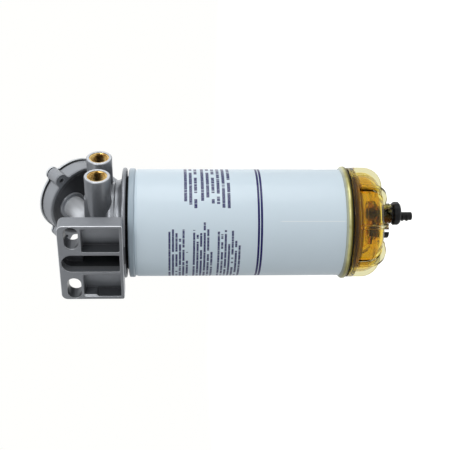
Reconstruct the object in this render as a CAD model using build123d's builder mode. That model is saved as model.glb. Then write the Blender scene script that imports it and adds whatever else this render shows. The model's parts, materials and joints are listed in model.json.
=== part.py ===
from build123d import *
import os
from math import cos, pi, radians, sin

# Fuel filter and water separator: cast head, spin-on filter and see-through water bowl.
# Millimetres. +Z is up along the filter axis, +Y points out of the mounting face and the
# two fuel ports open to -X. The origin is midway between the two mounting slots.
# Names that end in _up and _down are heights above and below the head's sealing face.

# Mounting face and filter axis
mount_to_axis = 67.0
bolt_to_seal = 49.5

# Fits between pieces
thread_gap = 0.05
slide_gap = 0.05
loose_gap = 0.3

# Head casting: flange, stepped dome and underside
flange_r = 55.5
flange_t = 4.0
flange_edge_round = 1.5
bell_round = 5.0
dome_r = 43.0
dome_step_up = 11.5
dome_step_round = 1.2
dome_top_r = 41.0
dome_top_up = 20.0
dome_edge_round = 5.0
gallery_outer_r = 39.0
gallery_up = 11.0
gallery_round = 1.5
hub_r = 17.5

# Hollow stud that the filter is screwed onto, and the outlet drillings above it
stud_r = 12.0
stud_bore_r = 7.5
stud_up = 15.0
stud_down = 16.0
stud_bevel = 1.0
riser_r = 5.5
riser_up = 23.5
cross_way_r = 5.0
cross_way_up = 20.5

# Fuel ports and their thread inserts
port_half_pitch = 16.5
port_up = 26.5
port_mouth_x = -67.0
port_r = 12.7
port_face_bevel = 0.8
port_root_x = 14.0
port_way_r = 6.0
inlet_port_end_x = 0.0
outlet_port_end_x = 4.0
insert_r = 9.75
insert_bore_r = 7.2
insert_len = 16.0
insert_set_back = 0.5
insert_mouth_bevel = 1.2

# Square rib along the front port boss, rising out of it
port_rib_top = 13.2
port_rib_start_x = -45.0
port_rib_start_front = 7.0
port_rib_end_x = -8.0
port_rib_end_front = 13.6

# Top block between the ports, the bracket and the pump neck
block_half_w = 19.0
block_front = 18.0
block_back = 24.0
block_bottom_up = 12.0
block_top_up = 41.0
block_round = 6.0

# Mounting bracket: plate, slots, side pockets and the hollow pedestal behind it
plate_half_w = 44.0
plate_bottom_up = 1.5
plate_top_up = 62.5
plate_t = 15.5
plate_far_round = 6.0
plate_near_round = 2.0
plate_edge_round = 0.8
slot_half_pitch = 30.0
slot_len = 25.0
slot_w = 13.5
pocket_in_x = 13.5
pocket_out_x = 40.7
pocket_low_up = 4.5
pocket_high_up = 40.5
pocket_depth = 12.5
pocket_round = 1.5
pocket_taper = 2.0
ledge_t = 2.4
ledge_up = 29.0
core_half_w = 10.0
core_low_up = 5.0
core_high_up = 60.3
core_depth = 30.0
core_top_depth = 16.5
core_step_up = 42.0
core_near_round = 1.5
pedestal_wall = 2.5
pedestal_foot_up = 3.0
pedestal_back = 16.0
pedestal_heel_t = 4.3
pedestal_heel_up = 47.0

# Hand primer pump: a round housing on a slanted neck, facing forward and up
pump_tilt = 37.4
pump_behind = 53.3
pump_up = 58.4
clamp_ring_r = 40.5
clamp_ring_t = 2.0
diaphragm_edge_r = 38.7
diaphragm_edge_t = 1.5
chamber_r = 34.0
chamber_deep = 11.4
pump_body_r = 39.0
pump_body_deep = 16.0
pump_back_t = 3.0
pump_rim_w = 3.5
pump_edge_round = 0.8
lug_angles = (34.0, 146.0, 270.0)
lug_centre_r = 42.5
lug_r = 6.5
lug_root_round = 3.0
lug_root_reach = 3.0
clamp_screw_r = 2.4
clamp_screw_head_r = 4.2
clamp_screw_head_t = 2.6
clamp_screw_len = 16.5
clamp_screw_recess_r = 1.6
clamp_screw_recess_deep = 1.5
neck_offset = 13.0
neck_r = 11.0
neck_collar_r = 14.5
neck_collar_t = 2.0
neck_collar_round = 1.2
neck_len = 44.0
pump_way_r = 4.2
pump_way_half_pitch = 5.6
inlet_way_len = 60.0
outlet_way_len = 82.0

# Diaphragm, push button, backing plate, spring and valves of the pump
diaphragm_t = 1.4
roll_out = 5.0
roll_outer_r = 33.0
roll_inner_r = 22.5
roll_slope = 2.4
edge_bead_w = 3.5
button_r = 21.0
button_h = 13.0
button_edge_round = 3.0
button_dish_r = 14.0
button_dish_deep = 1.5
button_stem_r = 4.0
button_rivet_r = 5.2
button_rivet_t = 1.4
backing_r = 17.0
backing_t = 1.6
spring_r = 7.5
spring_wire_r = 0.6
spring_wire_sides = 8
spring_turns = 2.5
inlet_valve_r = 4.8
outlet_valve_r = 3.4
valve_head_t = 1.2
valve_stem_r = 1.2
valve_stem_len = 4.5
valve_hole_r = 0.8
valve_hole_centre_r = 2.4
valve_hole_count = 5
valve_seat_t = 2.0

# Can of the spin-on filter
can_r = 54.0
can_wall = 0.8
can_end_down = 215.0
bead_top_down = 2.5
bead_h = 6.0
bead_out = 0.9
bead_w = 4.0
bead_round = 1.4
bead_lip_w = 6.9
bead_lip_t = 0.8
bead_neck_deep = 0.7
bead_neck_w = 1.2

# Gasket and thread plate at the can's top
gasket_in_r = 42.0
gasket_w = 4.5
gasket_h = 6.0
top_plate_down = 3.0
top_plate_end_down = 9.0
top_plate_bevel = 1.0
nut_wall = 5.0
nut_len = 15.0
inlet_hole_r = 4.0
inlet_hole_centre_r = 29.0
inlet_hole_count = 8

# Filter element inside the can
cap_side_gap = 3.7
cap_t = 1.2
cap_rim_h = 5.0
cap_rim_t = 0.8
cap_collar_t = 1.5
cap_collar_over_nut = 7.5
media_below_plate = 12.0
media_above_end = 10.0
media_rim_gap = 1.2
media_in_r = 22.0
media_fold_step = 3.5
media_folds = 36
tube_side_gap = 1.5
tube_t = 1.0
tube_slot_w = 4.0
tube_slot_len = 30.0
tube_slot_rows = 4
tube_slot_count = 6
disc_spring_in_r = 39.5
disc_spring_out_r = 46.0
disc_spring_t = 0.8

# Zinc-plated base ring of the can, and the bowl seal under it
ring_out = 3.0
ring_flare_h = 3.0
ring_over_can = 1.5
ring_h = 6.0
ring_round = 0.9
ring_plate_w = 8.95
ring_plate_t = 2.0
collar_wall = 2.95
collar_len = 12.5
bowl_seal_set_in = 1.5
bowl_seal_set_back = 0.6
bowl_seal_t = 2.0
bowl_seal_bevel = 0.6

# Water bowl
bowl_in_r = 47.0
bowl_wall = 3.3
bowl_h = 33.5
bowl_flange_out = 5.5
bowl_flange_h = 6.5
bowl_flange_round = 0.8
shoulder_r = 18.0
rib_count = 8
rib_t = 4.0
rib_out = 5.6
rib_proud = 3.4
rib_shoulder_r = 20.0
rib_end_r = 27.0
rib_end_slope = 3.0
rib_first_angle = 30.5

# Drain boss and spout, and the probe port beside them
drain_x = -11.0
drain_bore_r = 6.0
drain_boss_wall = 6.6
drain_boss_h = 12.0
drain_land_h = 4.8
drain_relief = 1.4
spout_wall = 2.25
spout_len = 19.5
probe_x = 11.0
probe_bore_r = 6.0
probe_boss_wall = 3.6
probe_boss_len = 25.0
probe_boss_h = 9.0
probe_boss_proud = 3.0

# Drain knob with its stem and hose nozzle
knob_wall = 2.2
knob_sides = 12
knob_over_spout = 6.5
knob_floor_t = 1.8
knob_bevel = 1.8
seal_groove_set_down = 2.0
seal_groove_h = 2.4
seal_groove_deep = 1.5
stem_head_over_groove = 1.2
stem_neck_r = 3.6
stem_neck_end_down = 264.0
drain_way_r = 1.8
drain_way_below_land = 5.2
nozzle_r = 4.2
nozzle_shift = 3.4
nozzle_len = 13.3
nozzle_end_round = 1.0
barb_out = 1.2
barb_h = 2.4
barb_set_downs = (3.1, 7.7)
barb_arc = 200.0
barb_facing = 36.0

# Probe port plug
plug_head_out = 1.4
plug_head_t = 8.0
plug_head_bevel = 0.8
plug_shank_set_down = 1.5
plug_slot_w = 2.6
plug_slot_deep = 5.0
plug_slot_angle = 126.0
plug_seal_t = 1.6

# Planes and axes
axis_y = -mount_to_axis
seal_z = -bolt_to_seal
section = Plane.XZ.offset(mount_to_axis)
filter_axis = Axis((0, axis_y, 0), (0, 0, 1))
pump_centre = (0, axis_y - pump_behind, seal_z + pump_up)
pump_out = (0, -cos(radians(pump_tilt)), sin(radians(pump_tilt)))
pump_face = Plane(origin=pump_centre, x_dir=(1, 0, 0), z_dir=pump_out)
pump_section = Plane(origin=pump_centre, x_dir=(1, 0, 0), z_dir=-pump_face.y_dir)
pump_axis = Axis(pump_centre, pump_out)

# Nearness within which an edge is taken to be the one looked for
edge_find = 0.02

# Heights along the pump axis, counted from the outer face of the clamp ring
diaphragm_level = -clamp_ring_t
body_level = diaphragm_level - diaphragm_edge_t
web_level = body_level + diaphragm_t
back_level = body_level - pump_body_deep
floor_level = body_level - chamber_deep
back_wall_level = floor_level - pump_back_t
backing_level = body_level - backing_t
rivet_level = backing_level - button_rivet_t
roll_top = web_level + roll_out

# Sizes of the head worked out from those above
port_centres = (
    (axis_y + port_half_pitch, seal_z + port_up),
    (axis_y - port_half_pitch, seal_z + port_up),
)
arch_centre_up = core_high_up - core_half_w
pedestal_half_w = core_half_w + pedestal_wall

# Sizes of the spin-on filter worked out from those above
bead_r = can_r + bead_out
bead_in_r = bead_r - bead_w
bead_lip_r = bead_r - bead_lip_w
bead_neck_r = can_r - bead_neck_deep
bead_end_down = bead_top_down + bead_h
gasket_out_r = gasket_in_r + gasket_w
nut_r = stud_r + nut_wall
nut_end_down = top_plate_down + nut_len
cap_r = can_r - can_wall - cap_side_gap
cap_collar_down = nut_end_down - cap_collar_over_nut
media_out_r = cap_r - cap_rim_t - media_rim_gap
media_top_down = top_plate_end_down + media_below_plate
media_end_down = can_end_down - media_above_end
tube_r = media_in_r - tube_side_gap

# Sizes of the base ring, bowl and drain worked out from those above
ring_r = can_r + ring_out
ring_flare_top_down = can_end_down - ring_over_can
ring_flare_end_down = ring_flare_top_down + ring_flare_h
ring_end_down = ring_flare_top_down + ring_h
collar_r = bowl_in_r - thread_gap
collar_in_r = collar_r - collar_wall
collar_end_down = ring_end_down + collar_len
ring_plate_in_r = collar_r - ring_plate_w
bowl_top_down = ring_end_down + bowl_seal_t
bowl_out_r = bowl_in_r + bowl_wall
bowl_flange_r = bowl_out_r + bowl_flange_out
bowl_flange_end_down = bowl_top_down + bowl_flange_h
bowl_end_down = bowl_top_down + bowl_h
bowl_seal_in_r = bowl_in_r + bowl_seal_set_in
bowl_seal_out_r = bowl_flange_r - bowl_seal_set_back
rib_angles = [rib_first_angle + k * 360 / rib_count for k in range(rib_count)]
drain_boss_r = drain_bore_r + drain_boss_wall
drain_boss_top_down = bowl_end_down - drain_boss_h
drain_land_end_down = drain_boss_top_down + drain_land_h
drain_relief_r = drain_bore_r + drain_relief
spout_r = drain_relief_r + spout_wall
spout_end_down = bowl_end_down + spout_len
stem_r = drain_bore_r - loose_gap
stem_top_down = drain_boss_top_down
seal_groove_r = stem_r - seal_groove_deep
seal_groove_top_down = stem_top_down + seal_groove_set_down
stem_neck_top_down = seal_groove_top_down + seal_groove_h + stem_head_over_groove
drain_way_top_down = drain_land_end_down + drain_way_below_land
cavity_r = spout_r + thread_gap
knob_r = cavity_r + knob_wall
knob_top_down = spout_end_down - knob_over_spout
knob_end_down = spout_end_down + knob_floor_t
nozzle_end_down = knob_end_down + nozzle_len
barb_top_downs = [knob_end_down + set_down for set_down in barb_set_downs]
probe_boss_r = probe_bore_r + probe_boss_wall
probe_boss_top_down = bowl_end_down - probe_boss_h
probe_boss_end_down = bowl_end_down + probe_boss_proud
plug_head_r = probe_bore_r + plug_head_out
plug_shank_top_down = probe_boss_top_down + plug_shank_set_down


def up(height):
    # Z of a height above the head's sealing face
    return seal_z + height


def down(depth):
    # Z of a depth below the head's sealing face
    return seal_z - depth


def level(z, x=0, y=0):
    # Horizontal plane at height z, its origin at x, y from the filter axis
    return Plane((x, axis_y + y, z))


def arc_middle(centre_r, centre_z, radius):
    # Middle point of a quarter arc that runs from a side wall round to a bottom
    return (centre_r + radius * cos(pi / 4), centre_z - radius * sin(pi / 4))


def circle_edges(piece, radius, z):
    # Round edges of one radius at one height
    rings = piece.edges().filter_by(GeomType.CIRCLE)
    return rings.filter_by(lambda e: abs(e.radius - radius) < edge_find and abs(e.center().Z - z) < edge_find)


def pump_circle_edges(piece, radius, pump_level):
    # Round edges of one radius at one height along the pump axis
    rings = piece.edges().filter_by(GeomType.CIRCLE).filter_by(lambda e: abs(e.radius - radius) < edge_find)
    return rings.filter_by(lambda e: abs(pump_face.to_local_coords(e.arc_center).Z - pump_level) < edge_find)


def finish(piece, name):
    # Label the piece and write its file
    piece.part.label = name
    export_step(piece.part, f"parts/{name}.step")


def make_bell():
    # Flange and stepped dome, turned about the filter axis, with the cored underside
    with BuildPart() as bell:
        with BuildSketch(section):
            with BuildLine():
                Polyline(
                    (0, up(0)),
                    (flange_r, up(0)),
                    (flange_r, up(flange_t)),
                    (dome_r, up(flange_t)),
                    (dome_r, up(dome_step_up)),
                    (dome_top_r, up(dome_step_up)),
                    (dome_top_r, up(dome_top_up)),
                    (0, up(dome_top_up)),
                    close=True,
                )
            make_face()
        revolve(axis=filter_axis)
        for ring_r_now, ring_up, radius in (
            (flange_r, 0, flange_edge_round),
            (flange_r, flange_t, flange_edge_round),
            (dome_r, flange_t, bell_round),
            (dome_r, dome_step_up, dome_step_round),
            (dome_top_r, dome_top_up, dome_edge_round),
        ):
            fillet(circle_edges(bell, ring_r_now, up(ring_up)), radius)
        with BuildSketch(level(up(0))):
            Circle(gallery_outer_r)
            Circle(hub_r, mode=Mode.SUBTRACT)
        extrude(amount=gallery_up, mode=Mode.SUBTRACT)
        fillet(circle_edges(bell, gallery_outer_r, up(gallery_up)), gallery_round)
        fillet(circle_edges(bell, hub_r, up(gallery_up)), gallery_round)
    return bell.part


def make_pedestal():
    # Arched foot behind the bracket plate, thin at its top and sloping down to the top block
    with BuildPart() as pedestal:
        with BuildSketch(Plane.XZ.offset(plate_t - plate_edge_round)):
            with BuildLine():
                Polyline(
                    (-pedestal_half_w, up(arch_centre_up)),
                    (-pedestal_half_w, up(pedestal_foot_up)),
                    (pedestal_half_w, up(pedestal_foot_up)),
                    (pedestal_half_w, up(arch_centre_up)),
                )
                RadiusArc(
                    (-pedestal_half_w, up(arch_centre_up)),
                    (pedestal_half_w, up(arch_centre_up)),
                    pedestal_half_w,
                )
            make_face()
        extrude(amount=mount_to_axis - pedestal_back - plate_t)
        with BuildSketch(Plane.YZ):
            with BuildLine():
                Polyline(
                    (0, up(plate_top_up)),
                    (-plate_t, up(plate_top_up)),
                    (-plate_t - pedestal_heel_t, up(pedestal_heel_up)),
                    (axis_y + pedestal_back, up(block_top_up)),
                    (axis_y + pedestal_back, up(0)),
                    (0, up(0)),
                    close=True,
                )
            make_face()
        extrude(amount=plate_half_w, both=True, mode=Mode.INTERSECT)
    return pedestal.part


def make_bracket_plate():
    # Flat plate with two slots for the mounting bolts and a cored pocket under each slot
    plate_mid_z = (up(plate_top_up) + up(plate_bottom_up)) / 2
    pocket_mid_x = (pocket_in_x + pocket_out_x) / 2
    pocket_mid_z = (up(pocket_low_up) + up(pocket_high_up)) / 2
    pocket_w = pocket_out_x - pocket_in_x
    pocket_h = pocket_high_up - pocket_low_up
    with BuildPart() as plate:
        with BuildSketch(Plane.XZ) as outline:
            with Locations((0, plate_mid_z)):
                Rectangle(2 * plate_half_w, plate_top_up - plate_bottom_up)
            fillet(outline.vertices().group_by(Axis.Y)[-1], plate_far_round)
            fillet(outline.vertices().group_by(Axis.Y)[0], plate_near_round)
        extrude(amount=plate_t)
        fillet(plate.faces().sort_by(Axis.Y)[-1].edges(), plate_edge_round)
        fillet(plate.faces().sort_by(Axis.Y)[0].edges(), plate_edge_round)
        with BuildSketch(Plane.XZ):
            with Locations((-slot_half_pitch, 0), (slot_half_pitch, 0)):
                SlotOverall(slot_len, slot_w)
        extrude(amount=plate_t, mode=Mode.SUBTRACT)
        with BuildSketch(Plane.XZ):
            with Locations((-pocket_mid_x, pocket_mid_z), (pocket_mid_x, pocket_mid_z)):
                RectangleRounded(pocket_w, pocket_h, pocket_round)
        extrude(amount=pocket_depth, taper=pocket_taper, mode=Mode.SUBTRACT)
        # Ledge on the outer wall of one pocket, beside its slot
        with BuildSketch(Plane.XZ.offset(plate_edge_round)):
            with BuildLine():
                Polyline(
                    (pocket_out_x + ledge_t, up(ledge_up) - 2 * ledge_t),
                    (pocket_out_x, up(ledge_up) - ledge_t),
                    (pocket_out_x - ledge_t, up(ledge_up)),
                    (pocket_out_x - ledge_t, up(pocket_high_up) + ledge_t / 2),
                    (pocket_out_x + ledge_t / 2, up(pocket_high_up) + ledge_t / 2),
                    close=True,
                )
            make_face()
        extrude(amount=pocket_depth)
    return plate.part


def draw_lobes(outline, radius):
    # Circle with a lobe for each clamp screw, blended into it
    Circle(radius)
    for angle in lug_angles:
        with PolarLocations(lug_centre_r, 1, start_angle=angle):
            Circle(lug_r)
        with PolarLocations((lug_centre_r + chamber_r) / 2, 1, start_angle=angle):
            Rectangle(lug_centre_r - chamber_r, 2 * lug_r)
    lug_centres = [Vector(lug_centre_r, 0).rotate(Axis.Z, angle) for angle in lug_angles]
    roots = outline.vertices().filter_by(
        lambda v: abs(Vector(v).length - radius) < edge_find
        and any((Vector(v) - centre).length < lug_r + lug_root_reach for centre in lug_centres)
    )
    fillet(roots, lug_root_round)


def make_pump_body():
    # Round pump housing, open to the front, with three screw lugs, and its slanted neck
    with BuildPart() as pump_body:
        with BuildSketch(pump_section):
            with BuildLine():
                Polyline(
                    (0, back_wall_level),
                    (pump_body_r - pump_rim_w, back_wall_level),
                    (pump_body_r - pump_rim_w, back_level),
                    (pump_body_r, back_level),
                    (pump_body_r, body_level),
                    (0, body_level),
                    close=True,
                )
            make_face()
        revolve(axis=pump_axis)
        back_edges = pump_body.edges().filter_by(GeomType.CIRCLE).sort_by(pump_axis)[:2]
        fillet(back_edges, pump_edge_round)
        with BuildSketch(pump_face.offset(body_level)) as outline:
            draw_lobes(outline, pump_body_r)
            Circle(chamber_r, mode=Mode.SUBTRACT)
        extrude(amount=-pump_body_deep)
        with BuildSketch(pump_face.offset(body_level)):
            Circle(chamber_r)
        extrude(amount=-chamber_deep, mode=Mode.SUBTRACT)
        with BuildSketch(pump_face.offset(body_level)):
            for angle in lug_angles:
                with PolarLocations(lug_centre_r, 1, start_angle=angle):
                    Circle(clamp_screw_r)
        extrude(amount=-pump_body_deep, mode=Mode.SUBTRACT)
        with BuildSketch(pump_face.offset(back_wall_level)):
            with Locations((0, neck_offset)):
                Circle(neck_r)
        extrude(amount=-neck_len)
        with BuildSketch(pump_face.offset(back_wall_level)):
            with Locations((0, neck_offset)):
                Circle(neck_collar_r)
        extrude(amount=-neck_collar_t)
        collar_low = back_wall_level - neck_collar_t
        fillet(pump_circle_edges(pump_body, neck_collar_r, collar_low), neck_collar_round)
    return pump_body.part


def make_filter_head(bell, pedestal, plate, pump_body):
    with BuildPart() as filter_head:
        add(bell)
        # Top block that joins ports, pedestal and pump neck
        with BuildSketch(level(up(block_bottom_up), y=(block_front - block_back) / 2)):
            RectangleRounded(2 * block_half_w, block_front + block_back, block_round)
        extrude(amount=block_top_up - block_bottom_up)
        fillet(filter_head.faces().sort_by(Axis.Z)[-1].edges(), block_round / 2)
        # Port bosses
        with BuildSketch(Plane.YZ.offset(port_mouth_x)):
            with Locations(*port_centres):
                Circle(port_r)
        extrude(amount=port_root_x - port_mouth_x)
        chamfer(filter_head.faces().sort_by(Axis.X)[:2].edges(), port_face_bevel)
        # Square rib along the front boss
        with BuildSketch(Plane.YZ.offset(port_rib_start_x)):
            with Locations(port_centres[0]):
                Rectangle(port_rib_start_front, port_rib_top, align=(Align.MIN, Align.MIN))
        with BuildSketch(Plane.YZ.offset(port_rib_end_x)):
            with Locations(port_centres[0]):
                Rectangle(port_rib_end_front, port_rib_top, align=(Align.MIN, Align.MIN))
        loft()
        add(pedestal)
        add(plate)
        add(pump_body)
        # Deep core of the pedestal, rounded at its far end
        with BuildSketch(Plane.XZ) as core:
            with BuildLine():
                Polyline(
                    (-core_half_w, up(arch_centre_up)),
                    (-core_half_w, up(core_low_up)),
                    (core_half_w, up(core_low_up)),
                    (core_half_w, up(arch_centre_up)),
                )
                RadiusArc(
                    (-core_half_w, up(arch_centre_up)),
                    (core_half_w, up(arch_centre_up)),
                    core_half_w,
                )
            make_face()
            fillet(core.vertices().group_by(Axis.Y)[0], core_near_round)
        extrude(amount=core_top_depth, taper=pocket_taper, mode=Mode.SUBTRACT)
        with BuildSketch(Plane.XZ) as deep_core:
            with Locations((0, (up(core_step_up) + up(core_low_up)) / 2)):
                Rectangle(2 * core_half_w, core_step_up - core_low_up)
            fillet(deep_core.vertices().group_by(Axis.Y)[0], core_near_round)
        extrude(amount=core_depth, taper=pocket_taper, mode=Mode.SUBTRACT)
        # Seats of the thread inserts, and the fuel ways behind them
        with BuildSketch(Plane.YZ.offset(port_mouth_x)):
            with Locations(*port_centres):
                Circle(insert_r)
        extrude(amount=insert_set_back + insert_len, mode=Mode.SUBTRACT)
        for centre, way_end in zip(port_centres, (inlet_port_end_x, outlet_port_end_x)):
            with BuildSketch(Plane.YZ.offset(port_mouth_x)):
                with Locations(centre):
                    Circle(port_way_r)
            extrude(amount=way_end - port_mouth_x, mode=Mode.SUBTRACT)
        # Thread of the filter stud, the outlet riser and the cross way to the rear port
        with BuildSketch(level(up(0))):
            Circle(stud_r)
        extrude(amount=stud_up, mode=Mode.SUBTRACT)
        with BuildSketch(level(up(stud_up))):
            Circle(riser_r)
        extrude(amount=riser_up - stud_up, mode=Mode.SUBTRACT)
        with BuildSketch(Plane.XZ.offset(mount_to_axis)):
            with Locations((0, up(cross_way_up))):
                Circle(cross_way_r)
        extrude(amount=port_half_pitch, mode=Mode.SUBTRACT)
        # Slanted ways from the pump chamber to the inlet port and to the gallery
        for side, way_len in ((-1, inlet_way_len), (1, outlet_way_len)):
            way_centre = (side * pump_way_half_pitch, neck_offset)
            with BuildSketch(pump_face.offset(floor_level - valve_seat_t)):
                with Locations(way_centre):
                    Circle(pump_way_r)
            extrude(amount=-way_len, mode=Mode.SUBTRACT)
            with BuildSketch(pump_face.offset(floor_level)):
                with Locations(way_centre):
                    Circle(valve_stem_r)
                    with PolarLocations(valve_hole_centre_r, valve_hole_count):
                        Circle(valve_hole_r)
            extrude(amount=-valve_seat_t, mode=Mode.SUBTRACT)
    finish(filter_head, "filter_head")


def make_port_inserts():
    # Threaded brass inserts, each chamfered at its mouth
    for name, centre in zip(("inlet_port_insert", "outlet_port_insert"), port_centres):
        with BuildPart() as insert:
            with BuildSketch(Plane.YZ.offset(port_mouth_x + insert_set_back)):
                with Locations(centre):
                    Circle(insert_r)
                    Circle(insert_bore_r, mode=Mode.SUBTRACT)
            extrude(amount=insert_len)
            mouth = insert.faces().sort_by(Axis.X)[0]
            chamfer(mouth.inner_wires().edges(), insert_mouth_bevel)
        finish(insert, name)


def make_filter_stud():
    with BuildPart() as filter_stud:
        with BuildSketch(level(down(stud_down))):
            Circle(stud_r)
            Circle(stud_bore_r, mode=Mode.SUBTRACT)
        extrude(amount=stud_up + stud_down)
        chamfer(circle_edges(filter_stud, stud_r, down(stud_down)), stud_bevel)
    finish(filter_stud, "filter_stud")


def make_clamp_ring():
    # Flat ring with three ears over the screw lugs
    with BuildPart() as clamp_ring:
        with BuildSketch(pump_face.offset(diaphragm_level)) as outline:
            draw_lobes(outline, clamp_ring_r)
            Circle(chamber_r, mode=Mode.SUBTRACT)
            for angle in lug_angles:
                with PolarLocations(lug_centre_r, 1, start_angle=angle):
                    Circle(clamp_screw_r, mode=Mode.SUBTRACT)
        extrude(amount=clamp_ring_t)
    finish(clamp_ring, "pump_clamp_ring")


def make_clamp_screws():
    # Three pan-head screws through the ears into the lugs
    with BuildPart() as clamp_screws:
        for angle in lug_angles:
            with BuildSketch(pump_face):
                with PolarLocations(lug_centre_r, 1, start_angle=angle):
                    Circle(clamp_screw_r)
            extrude(amount=-clamp_screw_len)
            with BuildSketch(pump_face):
                with PolarLocations(lug_centre_r, 1, start_angle=angle):
                    Circle(clamp_screw_head_r)
            extrude(amount=clamp_screw_head_t)
            with BuildSketch(pump_face.offset(clamp_screw_head_t)):
                with PolarLocations(lug_centre_r, 1, start_angle=angle):
                    RegularPolygon(clamp_screw_recess_r, 6)
            extrude(amount=-clamp_screw_recess_deep, mode=Mode.SUBTRACT)
    finish(clamp_screws, "pump_clamp_screws")


def make_diaphragm():
    # Rubber diaphragm: clamped edge, one raised roll and a flat middle with the stem hole
    edge_top = diaphragm_level
    edge_low = diaphragm_level - diaphragm_edge_t
    web_top = edge_low + diaphragm_t
    with BuildPart() as diaphragm:
        with BuildSketch(pump_section):
            with BuildLine():
                Polyline(
                    (button_stem_r, edge_low),
                    (button_stem_r, web_top),
                    (roll_inner_r, web_top),
                    (roll_inner_r + roll_slope, roll_top),
                    (roll_outer_r - roll_slope, roll_top),
                    (roll_outer_r, web_top),
                    (diaphragm_edge_r - edge_bead_w, web_top),
                    (diaphragm_edge_r - edge_bead_w, edge_top),
                    (diaphragm_edge_r, edge_top),
                    (diaphragm_edge_r, edge_low),
                    (roll_outer_r - diaphragm_t, edge_low),
                    (roll_outer_r - diaphragm_t - roll_slope, roll_top - diaphragm_t),
                    (roll_inner_r + diaphragm_t + roll_slope, roll_top - diaphragm_t),
                    (roll_inner_r + diaphragm_t, edge_low),
                    close=True,
                )
            make_face()
        revolve(axis=pump_axis)
    finish(diaphragm, "pump_diaphragm")


def make_pump_button():
    # Push button of the pump: a dished head and a stem riveted over behind the backing plate
    with BuildPart() as button:
        with BuildSketch(pump_section):
            with BuildLine():
                Polyline(
                    (0, rivet_level),
                    (button_rivet_r, rivet_level),
                    (button_rivet_r, backing_level),
                    (button_stem_r, backing_level),
                    (button_stem_r, web_level),
                    (button_r, web_level),
                    (button_r, web_level + button_h),
                    (button_dish_r, web_level + button_h),
                    (button_dish_r - button_dish_deep, web_level + button_h - button_dish_deep),
                    (0, web_level + button_h - button_dish_deep),
                    close=True,
                )
            make_face()
        revolve(axis=pump_axis)
        fillet(pump_circle_edges(button, button_r, web_level + button_h), button_edge_round)
    finish(button, "pump_button")


def make_backing_plate():
    # Steel disc behind the diaphragm, held by the stem's rivet
    with BuildPart() as backing:
        with BuildSketch(pump_face.offset(backing_level)):
            Circle(backing_r)
            Circle(button_stem_r, mode=Mode.SUBTRACT)
        extrude(amount=backing_t)
        fillet(pump_circle_edges(backing, backing_r, backing_level), backing_t / 4)
    finish(backing, "pump_backing_plate")


def make_pump_spring():
    # Return spring between the chamber floor and the backing plate
    spring_height = backing_level - floor_level - 2 * spring_wire_r
    start = pump_face.offset(floor_level + spring_wire_r).origin
    spring_pitch = spring_height / spring_turns
    with BuildPart() as spring:
        with BuildLine():
            coil = Helix(spring_pitch, spring_height, spring_r, center=start, direction=pump_out)
        with BuildSketch(Plane(origin=coil @ 0, z_dir=coil % 0)):
            RegularPolygon(spring_wire_r, spring_wire_sides)
        sweep(path=coil, is_frenet=True)
    finish(spring, "pump_spring")


def make_pump_valves():
    # Rubber umbrella valves: the inlet's opens into the chamber, the outlet's away from it
    for side, head_side, head_level, head_r, name in (
        (-1, 1, floor_level, inlet_valve_r, "inlet_check_valve"),
        (1, -1, floor_level - valve_seat_t, outlet_valve_r, "outlet_check_valve"),
    ):
        with BuildPart() as valve:
            with BuildSketch(pump_face.offset(head_level)):
                with Locations((side * pump_way_half_pitch, neck_offset)):
                    Circle(head_r)
            extrude(amount=head_side * valve_head_t)
            with BuildSketch(pump_face.offset(head_level)):
                with Locations((side * pump_way_half_pitch, neck_offset)):
                    Circle(valve_stem_r)
            extrude(amount=-head_side * valve_stem_len)
        finish(valve, name)


def make_filter_gasket():
    # Square-section rubber gasket, proud of its groove and seated on the head's flange
    with BuildPart() as gasket:
        with BuildSketch(level(down(gasket_h))):
            Circle(gasket_out_r)
            Circle(gasket_in_r, mode=Mode.SUBTRACT)
        extrude(amount=gasket_h)
    finish(gasket, "filter_gasket")


def make_top_plate():
    # Thread plate seamed into the can's bead: gasket groove, inlet holes and threaded nut
    groove_floor = down(gasket_h)
    with BuildPart() as plate:
        with BuildSketch(section):
            with BuildLine():
                Polyline(
                    (stud_r + thread_gap, down(top_plate_down)),
                    (gasket_in_r - loose_gap, down(top_plate_down)),
                    (gasket_in_r - loose_gap, groove_floor),
                    (gasket_out_r + loose_gap, groove_floor),
                    (gasket_out_r + loose_gap, down(top_plate_down + bead_lip_t)),
                    (bead_in_r, down(top_plate_down + bead_lip_t)),
                    (bead_in_r, down(top_plate_end_down)),
                    (nut_r, down(top_plate_end_down)),
                    (nut_r, down(nut_end_down)),
                    (stud_r + thread_gap, down(nut_end_down)),
                    close=True,
                )
            make_face()
        revolve(axis=filter_axis)
        with BuildSketch(level(down(top_plate_down))):
            with PolarLocations(inlet_hole_centre_r, inlet_hole_count):
                Circle(inlet_hole_r)
        extrude(amount=top_plate_down - top_plate_end_down, mode=Mode.SUBTRACT)
        chamfer(circle_edges(plate, nut_r, down(nut_end_down)), top_plate_bevel)
    finish(plate, "thread_plate")


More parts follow.
